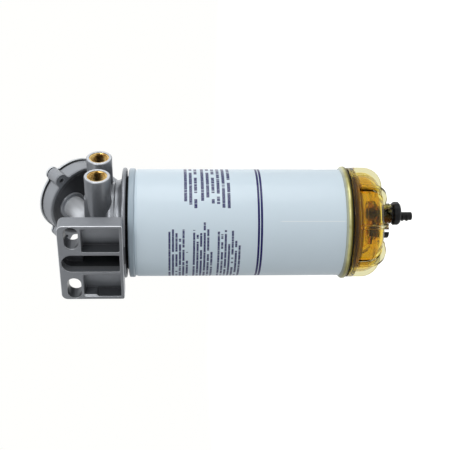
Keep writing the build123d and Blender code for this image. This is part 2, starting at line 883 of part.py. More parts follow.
def make_filter_can():
    # Drawn steel can: rolled bead at the top, open end seated on the base ring
    can_in_r = can_r - can_wall
    with BuildPart() as can:
        with BuildSketch(section):
            with BuildLine():
                Polyline(
                    (bead_lip_r, down(bead_top_down)),
                    (bead_r, down(bead_top_down)),
                    (bead_r, down(bead_end_down)),
                    (bead_neck_r, down(bead_end_down)),
                    (bead_neck_r, down(bead_end_down + bead_neck_w)),
                    (can_r, down(bead_end_down + 2 * bead_neck_w)),
                    (can_r, down(can_end_down)),
                    (can_in_r, down(can_end_down)),
                    (can_in_r, down(bead_end_down + 2 * bead_neck_w)),
                    (bead_in_r, down(top_plate_end_down)),
                    (bead_in_r, down(top_plate_down + bead_lip_t)),
                    (bead_lip_r, down(top_plate_down + bead_lip_t)),
                    close=True,
                )
            make_face()
        revolve(axis=filter_axis)
        fillet(circle_edges(can, bead_r, down(bead_top_down)), bead_round)
        fillet(circle_edges(can, bead_r, down(bead_end_down)), bead_round)
    finish(can, "filter_can")


def make_end_caps():
    # Pressed end caps of the filter element: a collar over the nut above, a closed dish below
    rim_in_r = cap_r - cap_rim_t
    sleeve_in_r = nut_r + slide_gap
    with BuildPart() as upper:
        with BuildSketch(section):
            with BuildLine():
                Polyline(
                    (sleeve_in_r, down(cap_collar_down)),
                    (sleeve_in_r + cap_collar_t, down(cap_collar_down)),
                    (sleeve_in_r + cap_collar_t, down(media_top_down - cap_t)),
                    (cap_r, down(media_top_down - cap_t)),
                    (cap_r, down(media_top_down + cap_rim_h)),
                    (rim_in_r, down(media_top_down + cap_rim_h)),
                    (rim_in_r, down(media_top_down)),
                    (sleeve_in_r, down(media_top_down)),
                    close=True,
                )
            make_face()
        revolve(axis=filter_axis)
    finish(upper, "upper_end_cap")
    with BuildPart() as lower:
        with BuildSketch(section):
            with BuildLine():
                Polyline(
                    (0, down(media_end_down)),
                    (rim_in_r, down(media_end_down)),
                    (rim_in_r, down(media_end_down - cap_rim_h)),
                    (cap_r, down(media_end_down - cap_rim_h)),
                    (cap_r, down(media_end_down + cap_t)),
                    (0, down(media_end_down + cap_t)),
                    close=True,
                )
            make_face()
        revolve(axis=filter_axis)
    finish(lower, "lower_end_cap")


def make_filter_media():
    # Pleated paper ring: the outer and the inner outline zigzag in step
    half_fold = pi / media_folds
    outer = []
    inner = []
    for k in range(media_folds):
        for turn, far_r, near_r in (
            (2 * k, media_out_r, media_out_r - media_fold_step),
            (2 * k + 1, media_in_r + media_fold_step, media_in_r),
        ):
            outer.append((far_r * cos(turn * half_fold), far_r * sin(turn * half_fold)))
            inner.append((near_r * cos(turn * half_fold), near_r * sin(turn * half_fold)))
    with BuildPart() as media:
        with BuildSketch(level(down(media_end_down))):
            with BuildLine():
                Polyline(*outer, close=True)
            make_face()
            with BuildLine():
                Polyline(*inner, close=True)
            make_face(mode=Mode.SUBTRACT)
        extrude(amount=media_end_down - media_top_down)
    finish(media, "filter_media")


def make_centre_tube():
    # Perforated tube that holds the pleats open
    length = media_end_down - media_top_down
    with BuildPart() as tube:
        with BuildSketch(level(down(media_end_down))):
            Circle(tube_r)
            Circle(tube_r - tube_t, mode=Mode.SUBTRACT)
        extrude(amount=length)
        for row in range(tube_slot_rows):
            row_z = down(media_end_down - (row + 0.5) * length / tube_slot_rows)
            for column in range(tube_slot_count // 2):
                direction = Vector(1, 0, 0).rotate(Axis.Z, column * 360 / tube_slot_count)
                with BuildSketch(Plane(origin=(0, axis_y, row_z), x_dir=(0, 0, 1), z_dir=direction)):
                    Rectangle(tube_slot_len, tube_slot_w)
                extrude(amount=tube_r, both=True, mode=Mode.SUBTRACT)
    finish(tube, "centre_tube")


def make_disc_spring():
    # Dished spring that presses the element up against the nut
    low = down(can_end_down)
    high = down(media_end_down + cap_t)
    with BuildPart() as spring:
        with BuildSketch(section):
            with BuildLine():
                Polyline(
                    (disc_spring_out_r, low),
                    (disc_spring_out_r, low + disc_spring_t),
                    (disc_spring_in_r + disc_spring_t, high),
                    (disc_spring_in_r, high),
                    (disc_spring_in_r, high - disc_spring_t),
                    (disc_spring_out_r - disc_spring_t, low),
                    close=True,
                )
            make_face()
        revolve(axis=filter_axis)
    finish(spring, "element_spring")


def make_base_ring():
    # Zinc-plated ring rolled over the can's end, with the threaded collar for the bowl
    plate_low = down(can_end_down + ring_plate_t)
    with BuildPart() as ring:
        with BuildSketch(section):
            with BuildLine():
                Polyline(
                    (can_r, down(ring_flare_top_down)),
                    (ring_r, down(ring_flare_end_down)),
                    (ring_r, down(ring_end_down)),
                    (collar_r, down(ring_end_down)),
                    (collar_r, down(collar_end_down)),
                    (collar_in_r, down(collar_end_down)),
                    (collar_in_r, plate_low),
                    (ring_plate_in_r, plate_low),
                    (ring_plate_in_r, down(can_end_down)),
                    (can_r, down(can_end_down)),
                    close=True,
                )
            make_face()
        revolve(axis=filter_axis)
        fillet(circle_edges(ring, ring_r, down(ring_flare_end_down)), ring_round)
        fillet(circle_edges(ring, ring_r, down(ring_end_down)), ring_round)
    finish(ring, "base_ring")


def make_bowl_seal():
    with BuildPart() as seal:
        with BuildSketch(level(down(bowl_top_down))):
            Circle(bowl_seal_out_r)
            Circle(bowl_seal_in_r, mode=Mode.SUBTRACT)
        extrude(amount=bowl_seal_t)
        chamfer(circle_edges(seal, bowl_seal_out_r, down(bowl_top_down)), bowl_seal_bevel)
        chamfer(circle_edges(seal, bowl_seal_out_r, down(ring_end_down)), bowl_seal_bevel)
    finish(seal, "bowl_seal")


def make_water_bowl():
    # Moulded bowl: flange, round wall and shoulder, outside ribs, drain spout and probe boss
    shoulder_z = down(bowl_end_down) + shoulder_r
    shoulder_centre_r = bowl_out_r - shoulder_r
    inner_r = shoulder_r - bowl_wall
    floor_z = down(bowl_end_down) + bowl_wall
    rib_r = bowl_out_r + rib_out
    rib_low = down(bowl_end_down + rib_proud)
    rib_shoulder_z = rib_low + rib_shoulder_r
    wall_mid_r = bowl_out_r - bowl_wall / 2
    wall_mid_arc_r = shoulder_r - bowl_wall / 2
    wall_mid_low = down(bowl_end_down) + bowl_wall / 2
    with BuildPart() as bowl:
        with BuildSketch(section):
            with BuildLine():
                Polyline(
                    (bowl_in_r, down(bowl_top_down)),
                    (bowl_flange_r, down(bowl_top_down)),
                    (bowl_flange_r, down(bowl_flange_end_down)),
                    (bowl_out_r, down(bowl_flange_end_down)),
                    (bowl_out_r, shoulder_z),
                )
                ThreePointArc(
                    (bowl_out_r, shoulder_z),
                    arc_middle(shoulder_centre_r, shoulder_z, shoulder_r),
                    (shoulder_centre_r, down(bowl_end_down)),
                )
                Polyline(
                    (shoulder_centre_r, down(bowl_end_down)),
                    (0, down(bowl_end_down)),
                    (0, floor_z),
                    (shoulder_centre_r, floor_z),
                )
                ThreePointArc(
                    (shoulder_centre_r, floor_z),
                    arc_middle(shoulder_centre_r, shoulder_z, inner_r),
                    (bowl_in_r, shoulder_z),
                )
                Line((bowl_in_r, shoulder_z), (bowl_in_r, down(bowl_top_down)))
            make_face()
        revolve(axis=filter_axis)
        fillet(circle_edges(bowl, bowl_flange_r, down(bowl_top_down)), bowl_flange_round)
        fillet(circle_edges(bowl, bowl_flange_r, down(bowl_flange_end_down)), bowl_flange_round)
        # Ribs that run down the wall, round the shoulder and end on the bottom
        for angle in rib_angles:
            with BuildSketch(section.rotated((0, 0, angle))):
                with BuildLine():
                    Polyline(
                        (wall_mid_r, down(bowl_flange_end_down) + bowl_flange_round),
                        (rib_r, down(bowl_flange_end_down) + bowl_flange_round),
                        (rib_r, rib_shoulder_z),
                    )
                    ThreePointArc(
                        (rib_r, rib_shoulder_z),
                        arc_middle(rib_r - rib_shoulder_r, rib_shoulder_z, rib_shoulder_r),
                        (rib_r - rib_shoulder_r, rib_low),
                    )
                    Polyline(
                        (rib_r - rib_shoulder_r, rib_low),
                        (rib_end_r, rib_low),
                        (rib_end_r - rib_end_slope, wall_mid_low),
                        (shoulder_centre_r, wall_mid_low),
                    )
                    ThreePointArc(
                        (shoulder_centre_r, wall_mid_low),
                        arc_middle(shoulder_centre_r, shoulder_z, wall_mid_arc_r),
                        (wall_mid_r, shoulder_z),
                    )
                    rib_end = down(bowl_flange_end_down) + bowl_flange_round
                    Line((wall_mid_r, shoulder_z), (wall_mid_r, rib_end))
                make_face()
            extrude(amount=rib_t / 2, both=True)
        # Drain boss inside and threaded spout outside, on one bore with a wider lower part
        with BuildSketch(level(down(spout_end_down), x=drain_x)):
            Circle(spout_r)
        extrude(amount=spout_end_down - bowl_end_down)
        with BuildSketch(level(floor_z, x=drain_x)):
            Circle(drain_boss_r)
        extrude(amount=down(drain_boss_top_down) - floor_z)
        with BuildSketch(level(down(spout_end_down), x=drain_x)):
            Circle(drain_bore_r)
        extrude(amount=spout_end_down - drain_boss_top_down, mode=Mode.SUBTRACT)
        with BuildSketch(level(down(spout_end_down), x=drain_x)):
            Circle(drain_relief_r)
        extrude(amount=spout_end_down - drain_land_end_down, mode=Mode.SUBTRACT)
        # Probe port boss, long inside the bowl and round outside
        with BuildSketch(level(down(probe_boss_end_down), x=probe_x)):
            Circle(probe_boss_r)
        extrude(amount=probe_boss_end_down - probe_boss_top_down)
        with BuildSketch(level(floor_z, x=probe_x)):
            with Locations((probe_boss_len / 2 - probe_boss_r, 0)):
                SlotOverall(probe_boss_len, 2 * probe_boss_r)
        extrude(amount=down(probe_boss_top_down) - floor_z)
        with BuildSketch(level(down(probe_boss_end_down), x=probe_x)):
            Circle(probe_bore_r)
        extrude(amount=probe_boss_end_down - probe_boss_top_down, mode=Mode.SUBTRACT)
    finish(bowl, "water_bowl")


def make_drain_seal():
    # Seal ring in the groove of the drain stem
    with BuildPart() as seal:
        with BuildSketch(level(down(seal_groove_top_down + seal_groove_h), x=drain_x)):
            Circle(drain_bore_r - slide_gap)
            Circle(seal_groove_r + slide_gap, mode=Mode.SUBTRACT)
        extrude(amount=seal_groove_h)
    finish(seal, "drain_seal")


def make_drain_knob():
    # Drain knob: a faceted cap on the spout, a stem up through the bore and a hose nozzle
    nozzle_x = drain_x + nozzle_shift
    with BuildPart() as knob:
        with BuildSketch(level(down(knob_end_down), x=drain_x)):
            RegularPolygon(knob_r, knob_sides)
        extrude(amount=knob_end_down - knob_top_down)
        chamfer(knob.faces().sort_by(Axis.Z)[-1].edges(), knob_bevel)
        chamfer(knob.faces().sort_by(Axis.Z)[0].edges(), knob_bevel)
        with BuildSketch(level(down(spout_end_down), x=drain_x)):
            Circle(cavity_r)
        extrude(amount=spout_end_down - knob_top_down, mode=Mode.SUBTRACT)
        with BuildSketch(level(down(spout_end_down), x=drain_x)):
            Circle(stem_r)
        extrude(amount=spout_end_down - stem_top_down)
        with BuildSketch(level(down(seal_groove_top_down + seal_groove_h), x=drain_x)):
            Circle(stem_r)
            Circle(seal_groove_r, mode=Mode.SUBTRACT)
        extrude(amount=seal_groove_h, mode=Mode.SUBTRACT)
        # Thin neck below the sealed head of the stem
        with BuildSketch(level(down(stem_neck_end_down), x=drain_x)):
            Circle(stem_r)
            Circle(stem_neck_r, mode=Mode.SUBTRACT)
        extrude(amount=stem_neck_end_down - stem_neck_top_down, mode=Mode.SUBTRACT)
        # Nozzle with two barbs on one side
        with BuildSketch(level(down(nozzle_end_down), x=nozzle_x)):
            Circle(nozzle_r)
        extrude(amount=nozzle_end_down - knob_end_down)
        fillet(circle_edges(knob, nozzle_r, down(nozzle_end_down)), nozzle_end_round)
        nozzle_axis = Axis((nozzle_x, axis_y, 0), (0, 0, 1))
        barb_start = Plane(
            origin=(nozzle_x, axis_y, 0),
            x_dir=(cos(radians(barb_facing - barb_arc / 2)), sin(radians(barb_facing - barb_arc / 2)), 0),
            z_dir=(sin(radians(barb_facing - barb_arc / 2)), -cos(radians(barb_facing - barb_arc / 2)), 0),
        )
        for barb_top in barb_top_downs:
            with BuildSketch(barb_start):
                with BuildLine():
                    Polyline(
                        (0, down(barb_top)),
                        (nozzle_r + barb_out, down(barb_top)),
                        (nozzle_r, down(barb_top + barb_h)),
                        (0, down(barb_top + barb_h)),
                        close=True,
                    )
                make_face()
            revolve(axis=nozzle_axis, revolution_arc=barb_arc)
        # Way out: side holes below the seal, then down through the stem and the nozzle
        with BuildSketch(level(down(knob_end_down), x=drain_x)):
            Circle(drain_way_r)
        extrude(amount=knob_end_down - drain_way_top_down, mode=Mode.SUBTRACT)
        with BuildSketch(Plane.XZ.offset(mount_to_axis)):
            with Locations((drain_x, down(drain_way_top_down + drain_way_r))):
                Circle(drain_way_r)
        extrude(amount=stem_r, both=True, mode=Mode.SUBTRACT)
        with BuildSketch(level(down(nozzle_end_down), x=nozzle_x)):
            Circle(drain_way_r)
        extrude(amount=nozzle_end_down - knob_end_down, mode=Mode.SUBTRACT)
        with BuildSketch(level(down(knob_end_down), x=drain_x + nozzle_shift / 2)):
            SlotOverall(nozzle_shift + 2 * drain_way_r, 2 * drain_way_r)
        extrude(amount=drain_way_r, mode=Mode.SUBTRACT)
    finish(knob, "drain_knob")


def make_probe_plug():
    # Threaded plug with a slotted head, and its seal ring
    head_top = down(probe_boss_end_down + plug_seal_t)
    slot_x = cos(radians(plug_slot_angle))
    slot_y = sin(radians(plug_slot_angle))
    with BuildPart() as plug:
        with BuildSketch(level(head_top, x=probe_x)):
            Circle(plug_head_r)
        extrude(amount=-plug_head_t)
        chamfer(circle_edges(plug, plug_head_r, head_top - plug_head_t), plug_head_bevel)
        with BuildSketch(level(head_top, x=probe_x)):
            Circle(probe_bore_r - thread_gap)
        extrude(amount=down(plug_shank_top_down) - head_top)
        slot_plane = Plane((probe_x, axis_y, head_top - plug_head_t), x_dir=(slot_x, slot_y, 0))
        with BuildSketch(slot_plane):
            Rectangle(2 * plug_head_r, plug_slot_w)
        extrude(amount=plug_slot_deep, mode=Mode.SUBTRACT)
    finish(plug, "probe_plug")
    with BuildPart() as seal:
        with BuildSketch(level(head_top, x=probe_x)):
            Circle(plug_head_r)
            Circle(probe_bore_r, mode=Mode.SUBTRACT)
        extrude(amount=plug_seal_t)
    finish(seal, "probe_seal")


os.makedirs("parts", exist_ok=True)
make_filter_head(make_bell(), make_pedestal(), make_bracket_plate(), make_pump_body())
make_port_inserts()
make_filter_stud()
make_clamp_ring()
make_clamp_screws()
make_diaphragm()
make_pump_button()
make_backing_plate()
make_pump_spring()
make_pump_valves()
make_filter_gasket()
make_top_plate()
make_filter_can()
make_end_caps()
make_filter_media()
make_centre_tube()
make_disc_spring()
make_base_ring()
make_bowl_seal()
make_water_bowl()
make_drain_seal()
make_drain_knob()
make_probe_plug()
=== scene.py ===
"""Looks of a fuel water separator: finishes, threads, screws, soft parts, light and camera."""

import json
import logging
import math
from dataclasses import dataclass
from enum import Enum
from typing import Any, Mapping, Sequence, Union

import bpy
from mathutils import Matrix, Vector


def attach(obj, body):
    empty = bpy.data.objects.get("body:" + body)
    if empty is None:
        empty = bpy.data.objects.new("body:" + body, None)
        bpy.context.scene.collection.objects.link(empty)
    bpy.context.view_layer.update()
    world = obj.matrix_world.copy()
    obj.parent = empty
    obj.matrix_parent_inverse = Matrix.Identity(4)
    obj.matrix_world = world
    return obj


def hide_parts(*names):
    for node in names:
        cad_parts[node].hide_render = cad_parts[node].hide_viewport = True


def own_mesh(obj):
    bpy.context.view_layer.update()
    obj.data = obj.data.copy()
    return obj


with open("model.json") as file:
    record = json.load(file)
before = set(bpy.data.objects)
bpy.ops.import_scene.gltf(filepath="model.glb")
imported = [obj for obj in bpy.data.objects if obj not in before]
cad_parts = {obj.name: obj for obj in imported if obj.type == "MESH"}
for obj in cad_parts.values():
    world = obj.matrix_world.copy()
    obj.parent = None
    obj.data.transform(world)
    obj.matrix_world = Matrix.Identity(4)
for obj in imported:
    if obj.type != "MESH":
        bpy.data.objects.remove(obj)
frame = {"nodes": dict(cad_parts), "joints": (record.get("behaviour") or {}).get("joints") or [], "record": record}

LOG = logging.getLogger("separator")
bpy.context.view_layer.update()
MM = 0.001

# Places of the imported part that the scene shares, in millimetres
AXIS_Y = -67.0
SEAL_Z = -49.5
PUMP_CENTRE = Vector((0.0, -120.3, 8.9))
PUMP_LEAN = math.radians(52.6)
PUMP_TURN = Matrix.Rotation(PUMP_LEAN, 3, "X")

# Fineness of pieces and ridges; a ridge's foot is a share of its pitch, its crest one of its foot
BEVEL_RAYS = 6
ROUND_SIDES = 96
THREAD_STEPS = 48
THREAD_FOOT = 0.94
THREAD_CREST = 0.12
THREAD_BITE = 0.05
SAME_PLACE = 0.00002

Piece = bpy.types.Object
Material = bpy.types.Material
Colour = tuple[float, float, float]
Pair = tuple[float, float]
# A first level, and the share that each wire adds to it
Levels = tuple[float, ...]
Number = Union[float, "Wire"]
Zone = tuple[tuple[str, float, float], ...]


def srgb(*levels: int) -> Colour:
    """Linear values of a colour on screen, given as red, green and blue from 0 to 255."""
    shares = (level / 255 for level in levels)
    return tuple(s / 12.92 if s <= 0.04045 else ((s + 0.055) / 1.055) ** 2.4 for s in shares)


class Wire:
    """One output of a shader node, on which plain sums can be written."""

    def __init__(self, sheet: "Sheet", socket: bpy.types.NodeSocket) -> None:
        """Keeps the node sheet and the socket."""
        self.sheet = sheet
        self.socket = socket

    def __add__(self, other: Number) -> "Wire":
        """This plus another value."""
        return self.sheet.math("ADD", self, other)

    __radd__ = __add__

    def __sub__(self, other: Number) -> "Wire":
        """This less another value."""
        return self.sheet.math("SUBTRACT", self, other)

    def __rsub__(self, other: float) -> "Wire":
        """A number less this."""
        return self.sheet.math("SUBTRACT", other, self)

    def __mul__(self, other: Number) -> "Wire":
        """This times another value."""
        return self.sheet.math("MULTIPLY", self, other)

    __rmul__ = __mul__

    def __truediv__(self, other: Number) -> "Wire":
        """This over another value."""
        return self.sheet.math("DIVIDE", self, other)

    def __gt__(self, other: Number) -> "Wire":
        """One where this is the larger, else nought."""
        return self.sheet.math("GREATER_THAN", self, other)

    def __lt__(self, other: Number) -> "Wire":
        """One where this is the smaller, else nought."""
        return self.sheet.math("LESS_THAN", self, other)

    def __abs__(self) -> "Wire":
        """Size without sign."""
        return self.sheet.math("ABSOLUTE", self)


@dataclass(frozen=True)
class Tone:
    """A colour that covers a share of what lies in its zones.

    A zone is where all its soft steps are full. Each names the measure that it is read on, the
    value where it starts and the value where it is full.
    """

    colour: Colour
    share: float
    zones: tuple[Zone, ...]


@dataclass(frozen=True)
class Cloud:
    """A noise: clouds to the metre, number of finer layers and stretch along each axis."""

    scale: float
    detail: float = 3.0
    stretch: tuple[float, float, float] | None = None


@dataclass(frozen=True)
class Relief:
    """A relief: height in millimetres, share that shows and radius that rounds the edges."""

    depth: float
    share: float = 0.5
    edge_r: float = 0.0


class Sheet:
    """The node sheet of one material, or of the surroundings."""

    def __init__(self, name: str, world: bool = False) -> None:
        """Starts with an empty node sheet.

        Args:
            name: Name of the material or the world.
            world: True for surroundings.
        """
        self.material = (bpy.data.worlds if world else bpy.data.materials).new(name)
        self.material.use_nodes = True
        self.tree = self.material.node_tree
        self.tree.nodes.clear()
        kind = "World" if world else "Material"
        self.output = self.tree.nodes.new(f"ShaderNodeOutput{kind}")

    @staticmethod
    def _find(sockets: Any, key: str | int) -> bpy.types.NodeSocket:
        """Finds a socket by its place, its identifier or its name."""
        named = [socket for socket in sockets if socket.identifier == key]
        return named[0] if named else sockets[key]

    def node(
        self,
        kind: str,
        settings: Mapping[str, Any] | None = None,
        inputs: Mapping[str | int, Any] | None = None,
        out: str | int = 0,
    ) -> Wire:
        """Adds a node, with its settings made before its sockets are filled.

        Args:
            kind: Node type without its ShaderNode prefix.
            settings: Properties of the node.
            inputs: Values or wires of its sockets, by name, identifier or place.
            out: Output that the returned wire starts from.

        Returns:
            A wire from that output.
        """
        made = self.tree.nodes.new("ShaderNode" + kind)
        for key, value in (settings or {}).items():
            setattr(made, key, value)
        for key, value in (inputs or {}).items():
            socket = self._find(made.inputs, key)
            if isinstance(value, Wire):
                self.tree.links.new(value.socket, socket)
            elif socket.type == "RGBA" and len(value) == 3:
                socket.default_value = (*value, 1.0)
            else:
                socket.default_value = value
        return Wire(self, self._find(made.outputs, out))

    def stairs(self, share: Wire, levels: Sequence[float]) -> Wire:
        """Reads a row of levels that share the way from nought to one evenly.

        Args:
            share: Place along the row.
            levels: The levels.

        Returns:
            The level at that place.
        """
        made = self.node("ValToRGB", inputs={"Fac": share}, out="Color")
        ramp = made.socket.node.color_ramp
        ramp.interpolation = "CONSTANT"
        while len(ramp.elements) < len(levels):
            ramp.elements.new(1.0)
        for i, (element, level) in enumerate(zip(ramp.elements, levels)):
            element.position = i / len(levels)
            element.color = (level, level, level, 1.0)
        return made

    def math(self, operation: str, *values: Number) -> Wire:
        """Adds a Math node for one operation on the given values."""
        return self.node("Math", {"operation": operation}, dict(enumerate(values)))

    def mix(self, share: Number, low: Any, high: Any) -> Wire:
        """Blends two colours: a share of nought gives the first and one the second."""
        inputs = {"Factor_Float": share, "A_Color": low, "B_Color": high}
        return self.node("Mix", {"data_type": "RGBA"}, inputs, "Result_Color")

    def step(self, value: Wire, low: float, high: float) -> Wire:
        """A soft step from nought at low to one at high; low may be the larger."""
        inputs = {"Value": value, "From Min": low, "From Max": high}
        return self.node("MapRange", {"interpolation_type": "SMOOTHSTEP"}, inputs)

    def length(self, one: Wire, other: Wire) -> Wire:
        """Root of the sum of two squares."""
        return self.math("SQRT", one * one + other * other)

    def zone(self, zone: Zone, measures: Mapping[str, Wire]) -> Wire:
        """One inside a zone and nought outside."""
        return math.prod(self.step(measures[name], start, full) for name, start, full in zone)

    def paint(self, colour: Any, tones: Sequence[Tone], measures: Mapping[str, Wire]) -> Wire:
        """Lays tones over a colour, each over the ones before it.

        Args:
            colour: What lies under them.
            tones: The tones, with one or two zones each.
            measures: What each measure is read from.

        Returns:
            The painted colour.
        """
        for tone in tones:
            masks = [self.zone(zone, measures) for zone in tone.zones]
            mask = self.math("MAXIMUM", *masks) if len(masks) > 1 else masks[0]
            colour = self.mix(mask * tone.share, colour, tone.colour)
        return colour

    def place(self) -> Wire:
        """Object coordinates in metres."""
        return self.node("TexCoord", out="Object")

    def parts(self, vector: Wire) -> tuple[Wire, Wire, Wire]:
        """The three parts of a vector in metres, in millimetres."""
        outputs = self.node("SeparateXYZ", inputs={0: vector}).socket.node.outputs
        return tuple(Wire(self, output) / MM for output in outputs)

    def about_axis(self) -> tuple[Wire, Wire, Wire]:
        """Radius, angle and height about the filter's axis.

        Returns:
            Radius in mm, angle in degrees from 0 to 360 and millimetres below the sealing face.
        """
        side, ahead, height = self.parts(self.place())
        depth = ahead - AXIS_Y
        turn = self.math("ARCTAN2", depth, side) * (180 / math.pi)
        angle = self.math("FLOORED_MODULO", turn, 360.0)
        return self.length(side, depth), angle, SEAL_Z - height

    def level(self, levels: Levels, *wires: Wire) -> Wire:
        """The first level, plus each wire times its own."""
        return sum((level * wire for level, wire in zip(levels[1:], wires)), levels[0])

    def noise(self, cloud: Cloud, where: Wire | None = None) -> Wire:
        """Cloudy variation between nought and one.

        Args:
            cloud: The noise.
            where: Coordinates to read; the object's own when left out.

        Returns:
            The noise value.
        """
        where = where or self.place()
        if cloud.stretch:
            where = self.node("Mapping", inputs={"Vector": where, "Scale": cloud.stretch})
        inputs = {"Vector": where, "Scale": cloud.scale, "Detail": cloud.detail}
        return self.node("TexNoise", inputs=inputs)

    def bump(self, height: Wire, relief: Relief, under: Wire | None = None) -> Wire:
        """Relief from a height map.

        Args:
            height: Height between nought and one.
            relief: The relief.
            under: Normals that it lies on, where it rounds no edges.

        Returns:
            The bent normals.
        """
        inputs = {"Height": height, "Distance": relief.depth * MM, "Strength": relief.share}
        if relief.edge_r:
            under = self.node("Bevel", {"samples": BEVEL_RAYS}, {"Radius": relief.edge_r * MM})
        if under:
            inputs["Normal"] = under
        return self.node("Bump", inputs=inputs)

    def rays(self) -> tuple[Wire, Wire]:
        """Tells rays apart.

        Returns:
            One for rays seen straight or through plastic, and one for those off shiny faces.
        """
        outputs = self.node("LightPath").socket.node.outputs
        names = ("Is Camera Ray", "Is Transmission Ray", "Is Glossy Ray")
        straight, through, shiny = (Wire(self, outputs[name]) for name in names)
        return self.math("MAXIMUM", straight, through), shiny

    def end(self, shader: Wire) -> Material:
        """Ends the sheet in a shader and gives the finished material."""
        self.tree.links.new(shader.socket, self.output.inputs["Surface"])
        return self.material

    def shade(self, colour: Wire, rough: Number, more: Mapping[str, Any]) -> Material:
        """Ends the sheet in one Principled shader; more holds its other sockets."""
        inputs = {"Base Color": colour, "Roughness": rough, **more}
        return self.end(self.node("BsdfPrincipled", inputs=inputs))


@dataclass(frozen=True)
class Plain:
    """One colour that clouds into another over a fine grain."""

    name: str
    colour: Colour
    other: Colour
    rough: Levels
    cloud: Cloud = Cloud(90.0, 4.0)
    grain: Cloud = Cloud(420.0, 3.0, (1.0, 1.0, 12.0))
    relief: Relief = Relief(0.012, 0.5, 0.25)
    spread: Pair = (0.3, 0.7)
    metal: float = 1.0
    gloss: float = 0.5

    def make(self) -> Material:
        """Builds the material.

        Returns:
            The material.
        """
        sheet = Sheet(self.name)
        cloud, grain = sheet.noise(self.cloud), sheet.noise(self.grain)
        colour = sheet.mix(sheet.step(cloud, *self.spread), self.colour, self.other)
        more = {"Metallic": self.metal, "Specular IOR Level": self.gloss}
        more["Normal"] = sheet.bump(grain, self.relief)
        return sheet.shade(colour, sheet.level(self.rough, grain, cloud), more)


@dataclass(frozen=True)
class CastAluminium:
    """Shot-blasted casting with machined port mouths and mounting face.

    Its tones are read on the object coordinates, on the size of x, on the distance from a slot, and
    about the pump: from its axis, from its neck's and out along it. All are in millimetres.
    """

    skin: Colour = srgb(134, 137, 142)
    hollow: Colour = srgb(116, 119, 124)
    # Colour of painted shade in the core pocket, side pockets, slots, pump's back wall and on the mounting face
    core: Colour = srgb(46, 47, 50)
    # Machined metal, and also the painted highlight on the pump housing's rim
    machined: Colour = srgb(200, 203, 208)
    # Painted highlights on the pump's neck and on the rim of the mounting face
    painted_highlight: Colour = srgb(226, 229, 233)
    slot_half_pitch: float = 30.0
    slot_half_straight: float = 5.75
    neck_shift: float = 13.0
    mouth: Zone = (("x", -66.65, -66.95),)
    face: Zone = (("y", -0.3, -0.05),)
    wall: Zone = (("y", -13.5, -12.9), ("y", -0.7, -1.3), ("z", -45.5, -45.1), ("z", -8.5, -8.9))
    tones: tuple[Tone, ...] = (
        # Painted shade in the core pocket, above its step and below it
        Tone(core, 0.8, (
            (("side", 10.6, 10.2), ("y", -16.7, -16.5), ("y", -8.9, -9.1), ("z", 11.6, 11.2)),
            (("side", 10.6, 10.2), ("y", -30.8, -30.2), ("y", -8.7, -9.3), ("z", -7.1, -7.4)),
        )),
        # Pump: painted highlights on the rim of its housing and on its neck, painted shade on its back wall
        Tone(machined, 0.25, ((("axis", 37.8, 38.4), ("out", -18.0, -17.0), ("out", 1.5, 0.5)),)),
        Tone(core, 0.85, (
            (("neck", 14.4, 15.0), ("axis", 38.0, 35.5), ("out", -23.5, -22.5), ("out", -14.0, -15.0)),
        )),
        Tone(painted_highlight, 0.9, ((("neck", 11.9, 11.3), ("out", -58.0, -44.0), ("out", -19.5, -21.5)),)),
        # Painted shade on the lower walls of the side pockets, the walls of the slots and the mounting face
        Tone(core, 0.75, (
            (("x", -19.0, -14.4), ("x", -12.8, -13.1)) + wall,
            (("x", 35.4, 40.0), ("x", 41.6, 41.2)) + wall,
        )),
        Tone(core, 0.55, ((("slot", 7.1, 6.9), ("y", -16.2, -15.0), ("y", -0.2, -1.4)),)),
        Tone(core, 0.26, (face,)),
        # Painted highlight on the rim of the mounting face
        Tone(painted_highlight, 0.7, ((("y", -1.05, -0.85), ("y", 0.0, -0.2)),)),
        # The machined mounting face and port mouths
        Tone(machined, 0.06, (face,)),
        Tone(machined, 1.0, (mouth,)),
    )
    cloud: Cloud = Cloud(55.0, 4.0)
    grain: Cloud = Cloud(1900.0)
    pits: Cloud = Cloud(620.0, 2.0)
    clouded: Levels = (0.0, 0.6, 0.4)
    spread: Pair = (0.35, 0.65)
    paleness: Levels = (0.55, 0.45)
    blasted: Levels = (0.0, 0.7, 0.5)
    relief: Relief = Relief(0.09, 0.55, 1.1)
    rough: Levels = (0.29, 0.12, -0.06, -0.04)
    metal: float = 0.5

    def make(self) -> Material:
        """Builds the material.

        Returns:
            The material.
        """
        sheet = Sheet("cast_aluminium")
        x, y, z = sheet.parts(sheet.place())
        past = sheet.math("MAXIMUM", abs(abs(x) - self.slot_half_pitch) - self.slot_half_straight, 0.0)
        turned = {"Location": PUMP_CENTRE * MM, "Rotation": (PUMP_LEAN, 0, 0)}
        at_pump = sheet.node("Mapping", {"vector_type": "TEXTURE"}, {"Vector": sheet.place(), **turned})
        across, along, out = sheet.parts(at_pump)
        neck = sheet.length(across, along - self.neck_shift)
        measures = {"x": x, "y": y, "z": z, "side": abs(x), "slot": sheet.length(past, z)}
        measures |= {"axis": sheet.length(across, along), "neck": neck, "out": out}
        grain = sheet.noise(self.grain)
        tone = sheet.level(self.clouded, sheet.noise(self.cloud), grain)
        pale = sheet.level(self.paleness, sheet.step(tone, *self.spread))
        colour = sheet.paint(sheet.mix(pale, self.hollow, self.skin), self.tones, measures)
        mouth, face = (sheet.zone(zone, measures) for zone in (self.mouth, self.face))
        rough = sheet.level(self.rough, grain, mouth, face)
        relief = sheet.bump(sheet.level(self.blasted, grain, sheet.noise(self.pits)), self.relief)
        return sheet.shade(colour, rough, {"Metallic": self.metal, "Normal": relief})


